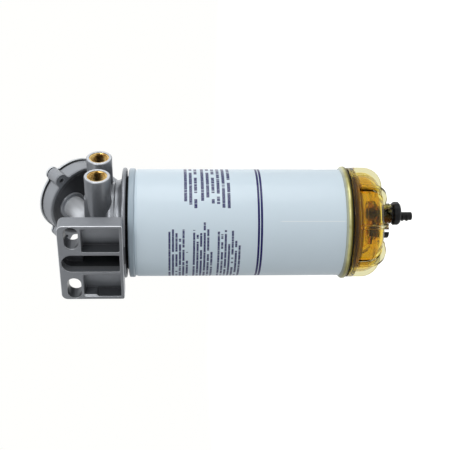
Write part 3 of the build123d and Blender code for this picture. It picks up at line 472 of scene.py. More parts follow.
@dataclass(frozen=True)
class Brass:
    """Machined brass of the threaded inserts, with painted shade inside each bore, darkest along its middle."""

    bright: Colour = srgb(232, 202, 132)
    dull: Colour = srgb(182, 138, 70)
    # Colour of the painted shade inside the bores
    deep: Colour = srgb(46, 28, 10)
    port_z: float = -23.0
    band: Zone = (("beside", 6.2, 1.8),)
    inside: Zone = (("x", -66.3, -65.3),)
    bore_shade_levels: Levels = (0.1, 0.84)
    cloud: Cloud = Cloud(240.0)
    spread: Pair = (0.3, 0.7)
    lines: Cloud = Cloud(900.0, 2.0, (9.0, 1.0, 1.0))
    relief: Relief = Relief(0.02)
    rough: Levels = (0.2, 0.14)

    def make(self) -> Material:
        """Builds the material.

        Returns:
            The material.
        """
        sheet = Sheet("brass")
        lines = sheet.noise(self.lines)
        colour = sheet.mix(sheet.step(sheet.noise(self.cloud), *self.spread), self.dull, self.bright)
        x, _, z = sheet.parts(sheet.place())
        measures = {"x": x, "beside": abs(z - self.port_z)}
        # Painted shade inside the bore, darkest along its middle
        bore_shade = sheet.level(self.bore_shade_levels, sheet.zone(self.band, measures))
        colour = sheet.mix(sheet.zone(self.inside, measures) * bore_shade, colour, self.deep)
        more = {"Metallic": 1.0, "Normal": sheet.bump(lines, self.relief)}
        return sheet.shade(colour, sheet.level(self.rough, lines), more)


@dataclass(frozen=True)
class YellowZinc:
    """Yellow passivated zinc of the base ring, with a thread cut on its inner collar.

    Its tones are read on the radius and on the height below the sealing face, in millimetres.
    """

    pale: Colour = srgb(194, 192, 142)
    olive: Colour = srgb(152, 144, 86)
    collar: Zone = (("down", 220.0, 220.6), ("radius", 47.5, 47.2))
    tones: tuple[Tone, ...] = (
        # Painted shade on the shoulder against the can and on the lip, painted light on the collar in the bowl
        Tone(srgb(152, 160, 156), 0.8, ((("down", 216.3, 214.4),),)),
        Tone(srgb(94, 86, 30), 1.0, ((("down", 216.9, 218.7),),)),
        Tone(srgb(226, 214, 150), 1.0, (collar,)),
    )
    thread: Zone = (("down", 221.6, 222.0), ("radius", 46.0, 46.5))
    thread_pitch: float = 3.0
    thread_relief: Relief = Relief(0.7, 1.0, 0.5)
    cloud: Cloud = Cloud(70.0, 4.0)
    streaks: Cloud = Cloud(260.0, 2.0, (1.0, 1.0, 9.0))
    clouded: Levels = (0.0, 0.7, 0.3)
    spread: Pair = (0.3, 0.7)
    relief: Relief = Relief(0.01, 0.4)
    rough: Levels = (0.26, 0.14)
    metal: Levels = (0.85, -0.7)

    def make(self) -> Material:
        """Builds the material.

        Returns:
            The material.
        """
        sheet = Sheet("yellow_zinc")
        radius, angle, down = sheet.about_axis()
        measures = {"radius": radius, "down": down}
        cloud, streak = sheet.noise(self.cloud), sheet.noise(self.streaks)
        tone = sheet.step(sheet.level(self.clouded, cloud, streak), *self.spread)
        colour = sheet.paint(sheet.mix(tone, self.olive, self.pale), self.tones, measures)
        wave = sheet.math("PINGPONG", down / self.thread_pitch + angle / 360.0, 0.5) * 2.0
        thread = sheet.bump(wave * sheet.zone(self.thread, measures), self.thread_relief)
        metal = sheet.level(self.metal, sheet.zone(self.collar, measures))
        more = {"Metallic": metal, "Normal": sheet.bump(streak, self.relief, thread)}
        return sheet.shade(colour, sheet.level(self.rough, cloud), more)


@dataclass(frozen=True)
class FilterPaper:
    """Resin-treated filter paper in pleats, paler towards their outer folds."""

    pale: Colour = srgb(224, 206, 160)
    fold: Colour = srgb(186, 160, 108)
    pale_r: Pair = (44.0, 47.5)
    fibre: Cloud = Cloud(1400.0, 5.0)
    fibre_share: float = 0.4
    relief: Relief = Relief(0.06, 0.7)
    rough: float = 0.85

    def make(self) -> Material:
        """Builds the material.

        Returns:
            The material.
        """
        sheet = Sheet("filter_paper")
        fibre = sheet.noise(self.fibre)
        colour = sheet.mix(sheet.step(sheet.about_axis()[0], *self.pale_r), self.fold, self.pale)
        colour = sheet.mix(fibre * self.fibre_share, colour, self.fold)
        return sheet.shade(colour, self.rough, {"Normal": sheet.bump(fibre, self.relief)})


class PrintSize(Enum):
    """The two heights of printed row on the can, in millimetres."""

    LARGE = 2.9
    SMALL = 2.05


@dataclass(frozen=True)
class PrintBlock:
    """A block of printed rows, drawn as broken bars that spell nothing.

    Each row ends at its own angle about the axis, so that one side of the block is ragged.
    """

    size: PrintSize
    first: float
    pitch: float
    ends: tuple[float, ...]
    far_end: float
    stroke: float
    soft: float = 0.15
    mm_a_degree: float = 0.94
    row_shift: float = 7.3
    letters: Pair = (0.30, 0.40)
    word_share: float = 0.16
    words: Pair = (0.30, 0.34)
    fleck_share: float = 1.9
    fleck_stretch: float = 1.1
    fleck_level: float = 3.0
    flecks: Pair = (0.42, 0.56)
    ink: Levels = (0.8, 0.2)

    def draw(self, sheet: Sheet, angle: Wire, down: Wire) -> Wire:
        """Draws the block's mask.

        Args:
            sheet: Node sheet of the paint.
            angle: Angle about the axis in degrees.
            down: Millimetres below the sealing face.

        Returns:
            One where ink lies and nought elsewhere.
        """
        count = len(self.ends)
        along = (down - (self.first - self.pitch / 2)) / self.pitch
        end = sheet.stairs(along / count, [end / 360 for end in self.ends]) * 360.0
        centre = abs(sheet.math("FRACT", along) - 0.5) * self.pitch
        half = self.size.value / 2
        bar = sheet.step(centre, half + self.soft, half - self.soft)
        inside = (along > 0.0) * (along < float(count))
        low, high = (end, self.far_end) if self.far_end > self.ends[0] else (self.far_end, end)
        reach = (angle > low) * (angle < high)
        across = angle * self.mm_a_degree
        row = sheet.math("FLOOR", along) * self.row_shift
        text = sheet.node("CombineXYZ", inputs={0: across, 1: row, 2: 0.0})
        letters = sheet.noise(Cloud(1.0 / self.stroke, 1.0), text)
        words = sheet.noise(Cloud(self.word_share / self.stroke, 0.0), text)
        inked = sheet.step(letters, *self.letters) * sheet.step(words, *self.words)
        spots = {0: across, 1: down * self.fleck_stretch, 2: self.fleck_level}
        fleck = Cloud(self.fleck_share / self.stroke, 1.0)
        flecks = sheet.step(sheet.noise(fleck, sheet.node("CombineXYZ", inputs=spots)), *self.flecks)
        return bar * inside * reach * inked * sheet.level(self.ink, flecks)


@dataclass(frozen=True)
class CanPaint:
    """Pale gloss enamel with painted dark reflection on its rolled top, print, a dark blue double line and a seam.

    Its tones are read on the height below the sealing face and from the double line's middle, in
    millimetres, and on the degrees from the seam.
    """

    white: Colour = srgb(210, 225, 235)
    # Grey of dust, and of the painted dark reflection on the rolled top
    dust_grey_and_bead_reflection: Colour = srgb(160, 175, 186)
    ink: Colour = srgb(12, 2, 84)
    line_down: float = 129.8
    seam_angle: float = 126.9
    blocks: tuple[PrintBlock, ...] = (
        PrintBlock(PrintSize.LARGE, 58.0, 4.85, (148.0, 144.5, 140.6), 238.0, 1.5),
        PrintBlock(PrintSize.LARGE, 74.3, 5.1, (148.6, 152.4, 145.5, 145.1, 141.1, 140.6), 238.0, 1.5),
        PrintBlock(
            PrintSize.SMALL, 42.3, 3.385,
            (116.6, 119.0, 115.1, 109.3, 119.0, 94.1, 26.0, 118.3, 113.4, 115.1, 126.1, 119.0, 94.1,
             26.0, 116.6, 113.9, 118.2, 104.7, 117.5, 106.8, 101.7), 26.0, 0.9,
        ),
    )
    # Painted dark reflection on the rolled top
    top: tuple[Tone, ...] = (Tone(dust_grey_and_bead_reflection, 1.0, ((("down", 9.6, 8.4),),)),)
    marks: tuple[Tone, ...] = (
        Tone(srgb(10, 0, 84), 1.0, ((("line", 0.3, 0.46), ("line", 2.62, 2.46)),)),
        Tone(srgb(236, 242, 245), 0.7, (
            (("seam", 0.7, 0.2), ("down", 148.0, 152.0), ("down", 214.5, 210.5)),
        )),
    )
    cloud: Cloud = Cloud(30.0)
    dust: Cloud = Cloud(160.0, 4.0)
    dusty: Pair = (0.6, 0.85)
    greyness: Levels = (0.0, 0.04, 0.03)
    peel: Cloud = Cloud(900.0, 2.0)
    relief: Relief = Relief(0.004, 0.4)
    rough: Levels = (0.34, 0.04)
    gloss: float = 0.3
    coat: float = 0.12
    coat_rough: float = 0.08

    def make(self) -> Material:
        """Builds the material.

        Returns:
            The material.
        """
        sheet = Sheet("can_paint")
        _, angle, down = sheet.about_axis()
        line, seam = abs(down - self.line_down), abs(angle - self.seam_angle)
        measures = {"down": down, "line": line, "seam": seam}
        cloud = sheet.noise(self.cloud)
        dust = sheet.step(sheet.noise(self.dust), *self.dusty)
        colour = sheet.paint(self.white, self.top, measures)
        colour = sheet.mix(sheet.level(self.greyness, dust, cloud), colour, self.dust_grey_and_bead_reflection)
        ink = sum(block.draw(sheet, angle, down) for block in self.blocks)
        colour = sheet.paint(sheet.mix(ink, colour, self.ink), self.marks, measures)
        more = {"Specular IOR Level": self.gloss, "Coat Weight": self.coat}
        more["Coat Roughness"] = self.coat_rough
        more["Normal"] = sheet.bump(sheet.noise(self.peel), self.relief)
        return sheet.shade(colour, sheet.level(self.rough, cloud), more)


@dataclass(frozen=True)
class AmberPlastic:
    """Clear amber moulding: deep in the wall, pale in the ribs that stand out, brown in the flange.

    Its tones are read on the radius, on the height below the sealing face, on how far out a place
    is from the wall's outside and on how far it is beside a rib's middle, all in millimetres.
    """

    wall: Colour = srgb(212, 183, 62)
    # Colour of the painted shade at the ribs' feet and on the flange's ledge
    edge: Colour = srgb(120, 64, 14)
    first_rib: float = 30.5
    rib_gap: float = 45.0
    wall_r: float = 50.3
    shoulder_r: float = 18.0
    bowl_end: float = 255.0
    foot: Zone = (("beside", 2.0, 2.2), ("beside", 3.0, 2.8), ("out", 1.3, 0.9), ("out", -2.9, -2.6))
    ledge: Zone = (("down", 228.6, 229.2), ("down", 230.2, 229.6))
    tones: tuple[Tone, ...] = (
        # Ribs, painted shade at their feet and the flange's ledge, wall behind the ribs, bosses, flange
        Tone(srgb(208, 203, 162), 1.0, ((("out", 0.2, 0.7),),)),
        Tone(edge, 0.8, (foot, ledge)),
        Tone(srgb(236, 176, 24), 1.0, (
            (("beside", 2.6, 2.0), ("out", -4.1, -3.9), ("out", -2.9, -3.1)),
        )),
        Tone(srgb(186, 146, 50), 1.0, ((("out", -4.4, -5.2),), (("radius", 15.5, 14.5),))),
        Tone(srgb(132, 106, 18), 1.0, ((("down", 227.2, 226.4),),)),
    )
    crest: Zone = (
        ("beside", 0.8, 1.0), ("beside", 2.0, 1.8), ("out", 1.6, 2.2),
        ("down", 228.2, 228.8), ("radius", 24.0, 26.0),
    )
    haze: Cloud = Cloud(60.0)
    rough: Levels = (0.01, 0.03, 0.55)
    index: float = 1.3
    gloss: float = 0.25

    def make(self) -> Material:
        """Builds the material.

        Returns:
            The material.
        """
        sheet = Sheet("amber_plastic")
        radius, angle, down = sheet.about_axis()
        side = sheet.math("MAXIMUM", radius - (self.wall_r - self.shoulder_r), 0.0)
        low = sheet.math("MAXIMUM", down - (self.bowl_end - self.shoulder_r), 0.0)
        out = sheet.length(side, low) - self.shoulder_r
        half_gap = self.rib_gap / 2
        turn = sheet.math("FLOORED_MODULO", angle - (self.first_rib - half_gap), self.rib_gap)
        beside = abs(sheet.math("SINE", (turn - half_gap) * (math.pi / 180)) * radius)
        measures = {"radius": radius, "down": down, "out": out, "beside": beside}
        colour = sheet.paint(self.wall, self.tones, measures)
        rough = sheet.level(self.rough, sheet.noise(self.haze), sheet.zone(self.crest, measures))
        clear = {"IOR": self.index, "Specular IOR Level": self.gloss, "Transmission Weight": 1.0}
        return sheet.shade(colour, rough, clear)


def finishes() -> dict[str, Any]:
    """Names every finish of the part by its material slot.

    Returns:
        The finishes.
    """
    steel: Levels = (0.3, 0.12, 0.06)
    flat = Cloud(900.0, 4.0)
    plain = (
        Plain("zinc_steel", srgb(186, 189, 192), srgb(222, 224, 226), steel),
        Plain("spring_steel", srgb(112, 114, 118), srgb(150, 152, 156), steel),
        Plain("tin_plate", srgb(176, 178, 182), srgb(204, 206, 208), (0.25, 0.12, 0.06),
              grain=Cloud(420.0)),
        Plain("plate_paint", srgb(34, 35, 38), srgb(62, 63, 66), (0.5, 0.2),
              flat, flat, Relief(0.02, 0.6, 0.4), (0.35, 0.75), metal=0.3),
        Plain("black_rubber", srgb(12, 12, 13), srgb(24, 24, 25), (0.6, 0.2),
              Cloud(120.0), Cloud(1500.0), Relief(0.03, 0.5, 0.3), (0.4, 0.8), 0.0, 0.15),
        Plain("black_plastic", srgb(12, 13, 15), srgb(26, 27, 30), (0.3, 0.16),
              Cloud(140.0), Cloud(1100.0), Relief(0.02, 0.5, 0.6), (0.45, 0.85), 0.0, 0.2),
    )
    return {finish.name: finish for finish in plain} | {
        "cast_aluminium": CastAluminium(),
        "brass": Brass(),
        "can_paint": CanPaint(),
        "filter_paper": FilterPaper(),
        "yellow_zinc": YellowZinc(),
        "amber_plastic": AmberPlastic(),
    }


class Bench:
    """Shapes meshes with Blender's own operators. Sizes are in millimetres about the local Z axis."""

    @staticmethod
    def clear() -> None:
        """Goes to object mode with nothing selected."""
        if bpy.context.object is not None and bpy.context.object.mode != "OBJECT":
            bpy.ops.object.mode_set(mode="OBJECT")
        bpy.ops.object.select_all(action="DESELECT")

    @staticmethod
    def edit() -> None:
        """Enters edit mode with everything selected."""
        bpy.ops.object.mode_set(mode="EDIT")
        bpy.ops.mesh.select_all(action="SELECT")

    @staticmethod
    def pick(obj: Piece) -> None:
        """Selects one object alone and makes it active.

        Args:
            obj: The object.
        """
        Bench.clear()
        obj.select_set(True)
        bpy.context.view_layer.objects.active = obj

    @staticmethod
    def tidy(obj: Piece, crease: float = 40.0) -> None:
        """Merges doubles, turns the faces outwards and smooths the shallow edges.

        Args:
            obj: The piece.
            crease: Steepest edge, in degrees, that is still shaded smooth.
        """
        Bench.pick(obj)
        Bench.edit()
        bpy.ops.mesh.remove_doubles(threshold=SAME_PLACE / 2)
        bpy.ops.mesh.normals_make_consistent()
        bpy.ops.object.mode_set(mode="OBJECT")
        bpy.ops.object.shade_smooth_by_angle(angle=math.radians(crease))

    @staticmethod
    def turned(profile: Sequence[Pair], sides: int, ring: bool = True) -> Piece:
        """Draws a ring and extrudes it from one profile point to the next.

        Args:
            profile: Radius and height of each point, in order.
            sides: Edges round the circle.
            ring: True closes the profile on its first point, and False closes both ends to the axis.

        Returns:
            The turned piece.
        """
        Bench.clear()
        radius, height = profile[0]
        bpy.ops.mesh.primitive_circle_add(
            vertices=sides, radius=radius * MM, location=(0, 0, height * MM)
        )
        obj = bpy.context.object
        bpy.ops.object.transform_apply()
        Bench.edit()
        if not ring:
            bpy.ops.mesh.edge_face_add()
        points = list(profile[1:]) + ([profile[0]] if ring else [])
        extrude = bpy.ops.mesh.extrude_edges_move if ring else bpy.ops.mesh.extrude_region_move
        for next_radius, next_height in points:
            extrude(TRANSFORM_OT_translate={"value": (0, 0, (next_height - height) * MM)})
            scale = next_radius / radius
            bpy.ops.transform.resize(value=(scale, scale, 1), center_override=(0, 0, next_height * MM))
            radius, height = next_radius, next_height
        bpy.ops.object.mode_set(mode="OBJECT")
        return obj

    @staticmethod
    def wind(obj: Piece, turns: float, rise: float, steps: int) -> None:
        """Sweeps an outline about the Z axis with a Screw modifier and closes both ends.

        Args:
            obj: The outline, beside the axis.
            turns: Number of turns.
            rise: Height of the whole sweep.
            steps: Steps to a turn.
        """
        screw = obj.modifiers.new("wind", "SCREW")
        screw.angle = turns * 2 * math.pi
        screw.screw_offset = rise * MM
        screw.steps = screw.render_steps = round(turns * steps)
        sides = len(obj.data.vertices)
        bpy.ops.object.modifier_apply(modifier=screw.name)
        Bench.edit()
        bpy.ops.mesh.fill_holes(sides=sides)
        bpy.ops.object.mode_set(mode="OBJECT")

    @staticmethod
    def thread(root: float, crest: float, pitch: float, start: float, end: float) -> Piece:
        """Winds one screw ridge.

        Args:
            root: Radius at its foot, just inside what carries it.
            crest: Radius at its edge, inside or outside the root.
            pitch: Rise to a turn.
            start: Height of its first end.
            end: Height of its last end.

        Returns:
            The closed ridge.
        """
        Bench.clear()
        middle = (root + crest) / 2
        level = (start + pitch / 2) * MM
        rise = end - start - pitch
        bpy.ops.mesh.primitive_plane_add(
            size=1.0, location=(middle * MM, 0, level), rotation=(math.pi / 2, 0, 0)
        )
        obj = bpy.context.object
        obj.scale = (abs(crest - root) * MM, pitch * THREAD_FOOT * MM, 1)
        bpy.ops.object.transform_apply()
        Bench.edit()
        bpy.ops.mesh.select_mode(type="VERT")
        bpy.ops.mesh.delete(type="ONLY_FACE")
        bpy.ops.mesh.select_all(action="DESELECT")
        bpy.ops.object.mode_set(mode="OBJECT")
        for vertex in obj.data.vertices:
            vertex.select = abs(vertex.co.x - crest * MM) < SAME_PLACE
        bpy.ops.object.mode_set(mode="EDIT")
        bpy.ops.transform.resize(value=(1, 1, THREAD_CREST), center_override=(crest * MM, 0, level))
        bpy.ops.object.mode_set(mode="OBJECT")
        Bench.wind(obj, rise / pitch, rise, THREAD_STEPS)
        return obj

    @staticmethod
    def join(pieces: Sequence[Piece], name: str) -> Piece:
        """Makes several meshes one piece.

        Args:
            pieces: The meshes, of which the first keeps its object.
            name: Name of the whole.

        Returns:
            The joined piece.
        """
        Bench.pick(pieces[0])
        for piece in pieces[1:]:
            piece.select_set(True)
        bpy.ops.object.join()
        pieces[0].name = name
        return pieces[0]

    @staticmethod
    def put(obj: Piece, turn: Matrix, place: Sequence[float]) -> None:
        """Turns a piece, moves it to its place in millimetres and leaves that place in its mesh.

        Args:
            obj: The piece, modelled about the local Z axis.
            turn: Turn to give it.
            place: Where its local origin goes.
        """
        obj.matrix_world = Matrix.Translation(Vector(place) * MM) @ turn.to_4x4()
        Bench.pick(obj)
        bpy.ops.object.transform_apply()

    @staticmethod
    def copy(obj: Piece) -> Piece:
        """Copies a piece with its own mesh.

        Args:
            obj: The piece.

        Returns:
            The copy.
        """
        twin = obj.copy()
        twin.data = obj.data.copy()
        bpy.context.collection.objects.link(twin)
        return twin


class Dresser:
    """Gives pieces and CAD nodes their materials and makes them ride."""

    def __init__(self) -> None:
        """Builds each material once."""
        self.materials = {name: finish.make() for name, finish in finishes().items()}

    def dress_nodes(self) -> None:
        """Dresses every CAD node by its slot in the record."""
        for part in frame["record"]["subparts"]:
            node = frame["nodes"][part["node"]]
            for holder in node.material_slots:
                holder.material = self.materials[part["material_slot"]]

    def finish(self, obj: Piece, slot: str, body: str, stands_for: Sequence[str] = ()) -> None:
        """Dresses a new piece, names its slot and makes it ride.

        Args:
            obj: The piece, with its place in its mesh.
            slot: Material slot of the record.
            body: CAD body that carries it.
            stands_for: CAD nodes that it replaces.
        """
        obj.data.materials.clear()
        obj.data.materials.append(self.materials[slot])
        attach(obj, body)
        if stands_for:
            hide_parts(*stands_for)
        LOG.info("%s: %d faces on %s", obj.name, len(obj.data.polygons), body)


@dataclass
class PortInserts:
    """The two brass inserts, with their threads cut."""

    dresser: Dresser
    outer_r: float = 9.75
    major_r: float = 8.0
    minor_r: float = 7.2
    length: float = 16.0
    mouth_x: float = -66.5
    lead_in: float = 0.4
    thread_low: float = 0.2
    thread_high: float = 0.3
    pitch: float = 1.5
    centres: tuple[tuple[str, float], ...] = (("inlet", -50.5), ("outlet", -83.5))
    centre_z: float = -23.0

    def build(self) -> None:
        """Models an insert upright, its mouth at height nought, and places a copy in each port."""
        profile = (
            (self.outer_r, -self.length),
            (self.outer_r, 0.0),
            (self.major_r + self.lead_in, 0.0),
            (self.major_r, -self.lead_in),
            (self.major_r, -self.length),
        )
        sleeve = Bench.turned(profile, ROUND_SIDES)
        low, high = self.thread_low - self.length, -self.thread_high
        ridge = Bench.thread(self.major_r + THREAD_BITE, self.minor_r, self.pitch, low, high)
        model = Bench.join((sleeve, ridge), "port_insert")
        Bench.tidy(model)
        turn = Matrix.Rotation(-math.pi / 2, 3, "Y")
        for (side, centre_y), piece in zip(self.centres, (model, Bench.copy(model))):
            piece.name = f"{side}_port_thread"
            Bench.put(piece, turn, (self.mouth_x, centre_y, self.centre_z))
            self.dresser.finish(piece, "brass", "head", [f"{side}_port_insert"])


@dataclass
class FilterStud:
    """The hollow stud that the filter screws on, with its thread."""

    dresser: Dresser
    major_r: float = 11.95
    minor_r: float = 11.15
    bore_r: float = 7.5
    up: float = 15.0
    below: float = 16.0
    bevel: float = 1.0
    bevel_in: float = 0.6
    thread_low: float = 0.6
    thread_high: float = 0.2
    pitch: float = 1.5

    def build(self) -> None:
        """Models the stud in place of its plain node."""
        profile = (
            (self.bore_r, self.up),
            (self.minor_r, self.up),
            (self.minor_r, -self.below + self.bevel),
            (self.minor_r - self.bevel_in, -self.below),
            (self.bore_r, -self.below),
        )
        core = Bench.turned(profile, ROUND_SIDES)
        low, high = self.thread_low - self.below, self.up - self.thread_high
        ridge = Bench.thread(self.minor_r - THREAD_BITE, self.major_r, self.pitch, low, high)
        stud = Bench.join((core, ridge), "threaded_stud")
        Bench.tidy(stud)
        Bench.put(stud, Matrix.Identity(3), (0.0, AXIS_Y, SEAL_Z))
        self.dresser.finish(stud, "zinc_steel", "head", ["filter_stud"])


@dataclass
class HandPump:
    """Screws, rolled diaphragm and return spring of the pump, about the pump's own axis."""

    dresser: Dresser
    screw_angles: tuple[float, ...] = (34.0, 146.0, 270.0)
    screw_centre_r: float = 42.5
    screw_r: float = 2.4
    screw_head_r: float = 4.2
    screw_head_t: float = 2.6
    screw_len: float = 16.5
    screw_tip_r: float = 0.84
    screw_tip_len: float = 1.2
    screw_rim: float = 1.17
    screw_crease: float = 35.0
    recess_r: float = 1.6
    recess_deep: float = 1.5
    stem_r: float = 4.0
    roll_r: float = 27.75
    roll_half: float = 5.25
    edge_r: float = 38.7
    web_top: float = -2.1
    rubber_t: float = 1.4
    rubber_bevel: float = 0.4
    rubber_crease: float = 50.0
    rubber_sides: int = 128
    roll_rise: float = 4.8
    roll_thin: float = 0.84
    roll_points: int = 16
    spring_r: float = 7.5
    wire_r: float = 0.6
    spring_low: float = -14.9
    spring_high: float = -5.1
    spring_turns: float = 3.5
    spring_steps: int = 40
    wire_sides: int = 12

    def screw(self) -> Piece:
        """Models one pan-head screw with a six-sided recess.

        Returns:
            The screw, upright.
        """
        dome = self.screw_head_t - self.screw_rim
        profile = [(self.screw_tip_r, -self.screw_len)]
        profile += [(self.screw_r, self.screw_tip_len - self.screw_len), (self.screw_r, 0.0)]
        profile += [(self.screw_head_r, 0.0), (self.screw_head_r, self.screw_rim)]
        for degrees in (22.5, 45.0, 67.5, 90.0):
            lean = math.radians(degrees)
            inward, rise = dome * (1 - math.cos(lean)), dome * math.sin(lean)
            profile.append((self.screw_head_r - inward, self.screw_rim + rise))
        body = Bench.turned(profile, ROUND_SIDES // 2, ring=False)
        Bench.clear()
        bpy.ops.mesh.primitive_cylinder_add(
            vertices=6, radius=self.recess_r * MM, depth=self.recess_deep * 2 * MM,
            location=(0, 0, self.screw_head_t * MM),
        )
        cutter = bpy.context.object
        Bench.pick(body)
        cut = body.modifiers.new("recess", "BOOLEAN")
        cut.operation = "DIFFERENCE"
        cut.object = cutter
        bpy.ops.object.modifier_apply(modifier=cut.name)
        bpy.data.objects.remove(cutter, do_unlink=True)
        return body

    def screws(self) -> None:
        """Places three screws as one piece in their lugs."""
        first = self.screw()
        copies = [first, Bench.copy(first), Bench.copy(first)]
        for angle, piece in zip(self.screw_angles, copies):
            about = Matrix.Rotation(math.radians(angle), 3, "Z")
            local = about @ Vector((self.screw_centre_r, 0, 0))
            Bench.put(piece, PUMP_TURN, PUMP_CENTRE + PUMP_TURN @ local)
        screws = Bench.join(copies, "pan_head_screws")
        Bench.tidy(screws, self.screw_crease)
        self.dresser.finish(screws, "zinc_steel", "head", ["pump_clamp_screws"])

    def diaphragm(self) -> None:
        """Models the diaphragm with a round roll."""
        top, low = self.web_top, self.web_top - self.rubber_t

        leans = [math.pi * (1 - i / self.roll_points) for i in range(self.roll_points + 1)]

        def roll(foot: float, half: float) -> list[Pair]:
            """Points of a half-round roll from its inner to its outer foot."""
            rise = self.roll_rise
            return [(self.roll_r + half * math.cos(a), foot + rise * math.sin(a)) for a in leans]

        upper, under = roll(top, self.roll_half), roll(low, self.roll_half - self.roll_thin)
        bevel = self.rubber_bevel
        profile = [(self.stem_r, low), (self.stem_r, top)] + upper
        profile += [(self.edge_r - bevel, top), (self.edge_r, top - bevel), (self.edge_r, low)]
        rubber = Bench.turned(profile + under[::-1], self.rubber_sides)
        rubber.name = "rolled_diaphragm"
        Bench.tidy(rubber, self.rubber_crease)
        Bench.put(rubber, PUMP_TURN, PUMP_CENTRE)
        self.dresser.finish(rubber, "black_rubber", "head", ["pump_diaphragm"])
        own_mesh(rubber)

    def spring(self) -> None:
        """Winds the return spring."""
        Bench.clear()
        length = self.spring_high - self.spring_low
        bpy.ops.mesh.primitive_circle_add(
            vertices=self.wire_sides, radius=self.wire_r * MM, rotation=(math.pi / 2, 0, 0),
            location=(self.spring_r * MM, 0, (self.spring_low + self.wire_r) * MM),
        )
        coil = bpy.context.object
        coil.name = "return_spring"
        bpy.ops.object.transform_apply()
        Bench.wind(coil, self.spring_turns, length - 2 * self.wire_r, self.spring_steps)
        Bench.tidy(coil)
        Bench.put(coil, PUMP_TURN, PUMP_CENTRE)
        self.dresser.finish(coil, "spring_steel", "head", ["pump_spring"])
        travel = next(j["range_m"][1] for j in frame["joints"] if j["name"] == "pump_press") / MM
        keep = (length - travel) / length
        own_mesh(coil)

    def build(self) -> None:
        """Builds the pump's pieces."""
        self.screws()
        self.diaphragm()
        self.spring()


@dataclass
class WaterBowl:
    """Thread on the bowl's spout, above the drain knob."""

    dresser: Dresser
    spout_x: float = -11.0
    foot_r: float = 9.55
    crest_r: float = 10.5
    pitch: float = 2.5
    top: float = 256.2
    low: float = 267.6

    def build(self) -> None:
        """Winds the moulded thread on the spout."""
        ridge = Bench.thread(self.foot_r, self.crest_r, self.pitch, -self.low, -self.top)
        ridge.name = "spout_thread"
        Bench.tidy(ridge)
        Bench.put(ridge, Matrix.Identity(3), (self.spout_x, AXIS_Y, SEAL_Z))
        self.dresser.finish(ridge, "amber_plastic", "bowl")


class Side(Enum):
    """Directions towards the camera and the picture's top and right edges."""

    CAMERA = (-0.588, 0.809, 0.0)
    PICTURE_TOP = (-0.809, -0.588, 0.0)
    PICTURE_RIGHT = (0.0, 0.0, -1.0)


@dataclass
class PhotoCamera:
    """The camera at the photograph's angle: square on to the axis, which lies level in the picture."""

    distance: float = 950.0
    focal_px: float = 936.0
    turn_about_axis: float = 36.0
    foot_px: float = 170.0
    level_px: float = 222.4
    seal_px: float = 127.5
    roll: float = -0.1
    frame_px: float = 450.0

    def build(self) -> None:
        """Makes the camera and looks through it."""
        half = self.frame_px / 2
        lean = math.radians(self.turn_about_axis)
        back = Vector((-math.sin(lean), math.cos(lean), 0))
        up = Vector((-math.cos(lean), -math.sin(lean), 0))
        yaw = math.atan((half - self.foot_px) / self.focal_px)
        pitch = math.atan((half - self.level_px) / self.focal_px)
        foot = self.distance * math.tan(math.atan((self.seal_px - half) / self.focal_px) + yaw)
        place = back * self.distance + Vector((0, AXIS_Y, SEAL_Z + foot))
        turn = Matrix((Side.PICTURE_RIGHT.value, up, back)).transposed()
        for angle, axis in ((-yaw, "Y"), (-pitch, "X"), (math.radians(self.roll), "Z")):
            turn = turn @ Matrix.Rotation(angle, 3, axis)
        data = bpy.data.cameras.new("photo_camera")
        data.lens = self.focal_px * data.sensor_width / self.frame_px
        camera = bpy.data.objects.new(data.name, data)
        bpy.context.collection.objects.link(camera)
        camera.matrix_world = Matrix.Translation(place * MM) @ turn.to_4x4()
        bpy.context.scene.camera = camera


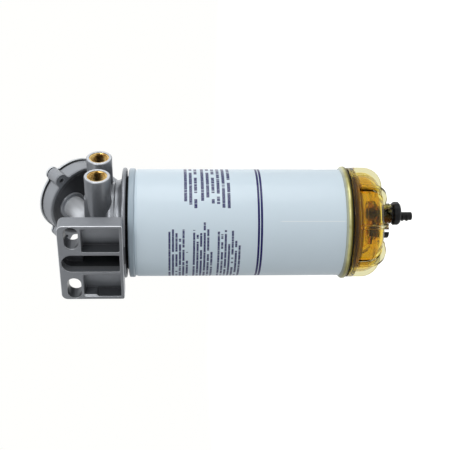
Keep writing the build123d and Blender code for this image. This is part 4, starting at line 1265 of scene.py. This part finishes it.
@dataclass
class Studio:
    """Pale floor, white surroundings and soft lamps."""

    centre: tuple[float, float, float] = (0.0, -0.067, -0.16)
    floor_z: float = -0.46
    floor_size: float = 12.0
    ambient: float = 0.36
    sky_low: float = 0.15
    sky_high: float = 1.2
    sky_reach: float = 0.7
    sky_top: float = 0.8
    sky_left: float = 0.6
    cool: Colour = (0.97, 0.985, 1.0)
    warm: Colour = (1.0, 1.0, 0.985)
    floor_colour: Colour = (0.86, 0.86, 0.85)
    floor_glow: float = 0.78
    floor_shine: float = 0.5
    lamp_far: float = 1.4

    def world(self) -> None:
        """Makes surroundings that look white and light the part, most from the top left."""
        sheet = Sheet("surroundings", world=True)
        bpy.context.scene.world = sheet.material
        way = sheet.node("TexCoord", out="Generated")
        _, top, right = (Vector(side.value) for side in Side)
        bright = tuple(top * self.sky_top - right * self.sky_left)
        up = sheet.node("VectorMath", {"operation": "DOT_PRODUCT"}, {0: way, 1: bright}, "Value")
        levels = (up, -self.sky_reach, self.sky_reach, self.sky_low, self.sky_high)
        sky = sheet.node("MapRange", inputs=dict(enumerate(levels)))
        seen, shiny = sheet.rays()
        lit = sky * (self.ambient + shiny * (1.0 - self.ambient))
        power = seen + (1.0 - seen) * lit
        tint = sheet.mix(seen, self.cool, self.warm)
        sheet.end(sheet.node("Background", inputs={"Color": tint, "Strength": power}))

    def floor(self) -> None:
        """Lays a white floor that takes the part's shadow."""
        Bench.clear()
        bpy.ops.mesh.primitive_plane_add(size=self.floor_size, location=(0, 0, self.floor_z))
        floor = bpy.context.object
        floor.name = "floor"
        bpy.ops.object.transform_apply()
        sheet = Sheet("floor_white")
        seen, shiny = sheet.rays()
        matt = sheet.node("BsdfDiffuse", inputs={"Color": self.floor_colour})
        power = sheet.math("MAXIMUM", seen, shiny * self.floor_shine) * self.floor_glow
        glow = sheet.node("Emission", inputs={"Color": self.warm, "Strength": power})
        floor.data.materials.append(sheet.end(sheet.node("AddShader", inputs={0: matt, 1: glow})))

    def lamp(self, name: str, toward: Vector, power: float, size: Pair) -> None:
        """Hangs one lamp that faces the part.

        Args:
            name: Name of the lamp.
            toward: Direction from the part to the lamp.
            power: Power in watts.
            size: Width and height in metres.
        """
        data = bpy.data.lights.new(name, "AREA")
        data.shape = "RECTANGLE"
        data.size, data.size_y = size
        data.energy = power
        lamp = bpy.data.objects.new(name, data)
        bpy.context.collection.objects.link(lamp)
        place = Vector(self.centre) + toward.normalized() * self.lamp_far
        turn = (-toward).to_track_quat("-Z", "Y")
        lamp.matrix_world = Matrix.Translation(place) @ turn.to_matrix().to_4x4()

    def build(self) -> None:
        """Sets up the whole studio."""
        self.world()
        self.floor()
        camera, top, right = (Vector(side.value) for side in Side)
        self.lamp("key", top * 0.9 + camera * 0.42, 7.0, (1.0, 0.8))
        self.lamp("side", camera * 0.82 - right * 0.45 + top * 0.35, 5.5, (0.5, 0.5))
        self.lamp("fill", camera * 0.3 - top * 0.8 - right * 0.5, 4.5, (1.2, 1.2))
        self.lamp("back", -camera * 0.9 + top * 0.3, 3.0, (1.4, 1.4))
        bpy.context.scene.view_settings.view_transform = "Standard"


def main() -> None:
    """Dresses the nodes, builds every piece and sets up studio and camera."""
    logging.basicConfig(level=logging.INFO, format="%(name)s: %(message)s")
    dresser = Dresser()
    dresser.dress_nodes()
    for group in (PortInserts, FilterStud, HandPump, WaterBowl):
        group(dresser).build()
    Studio().build()
    PhotoCamera().build()


if __name__ == "__main__":
    main()
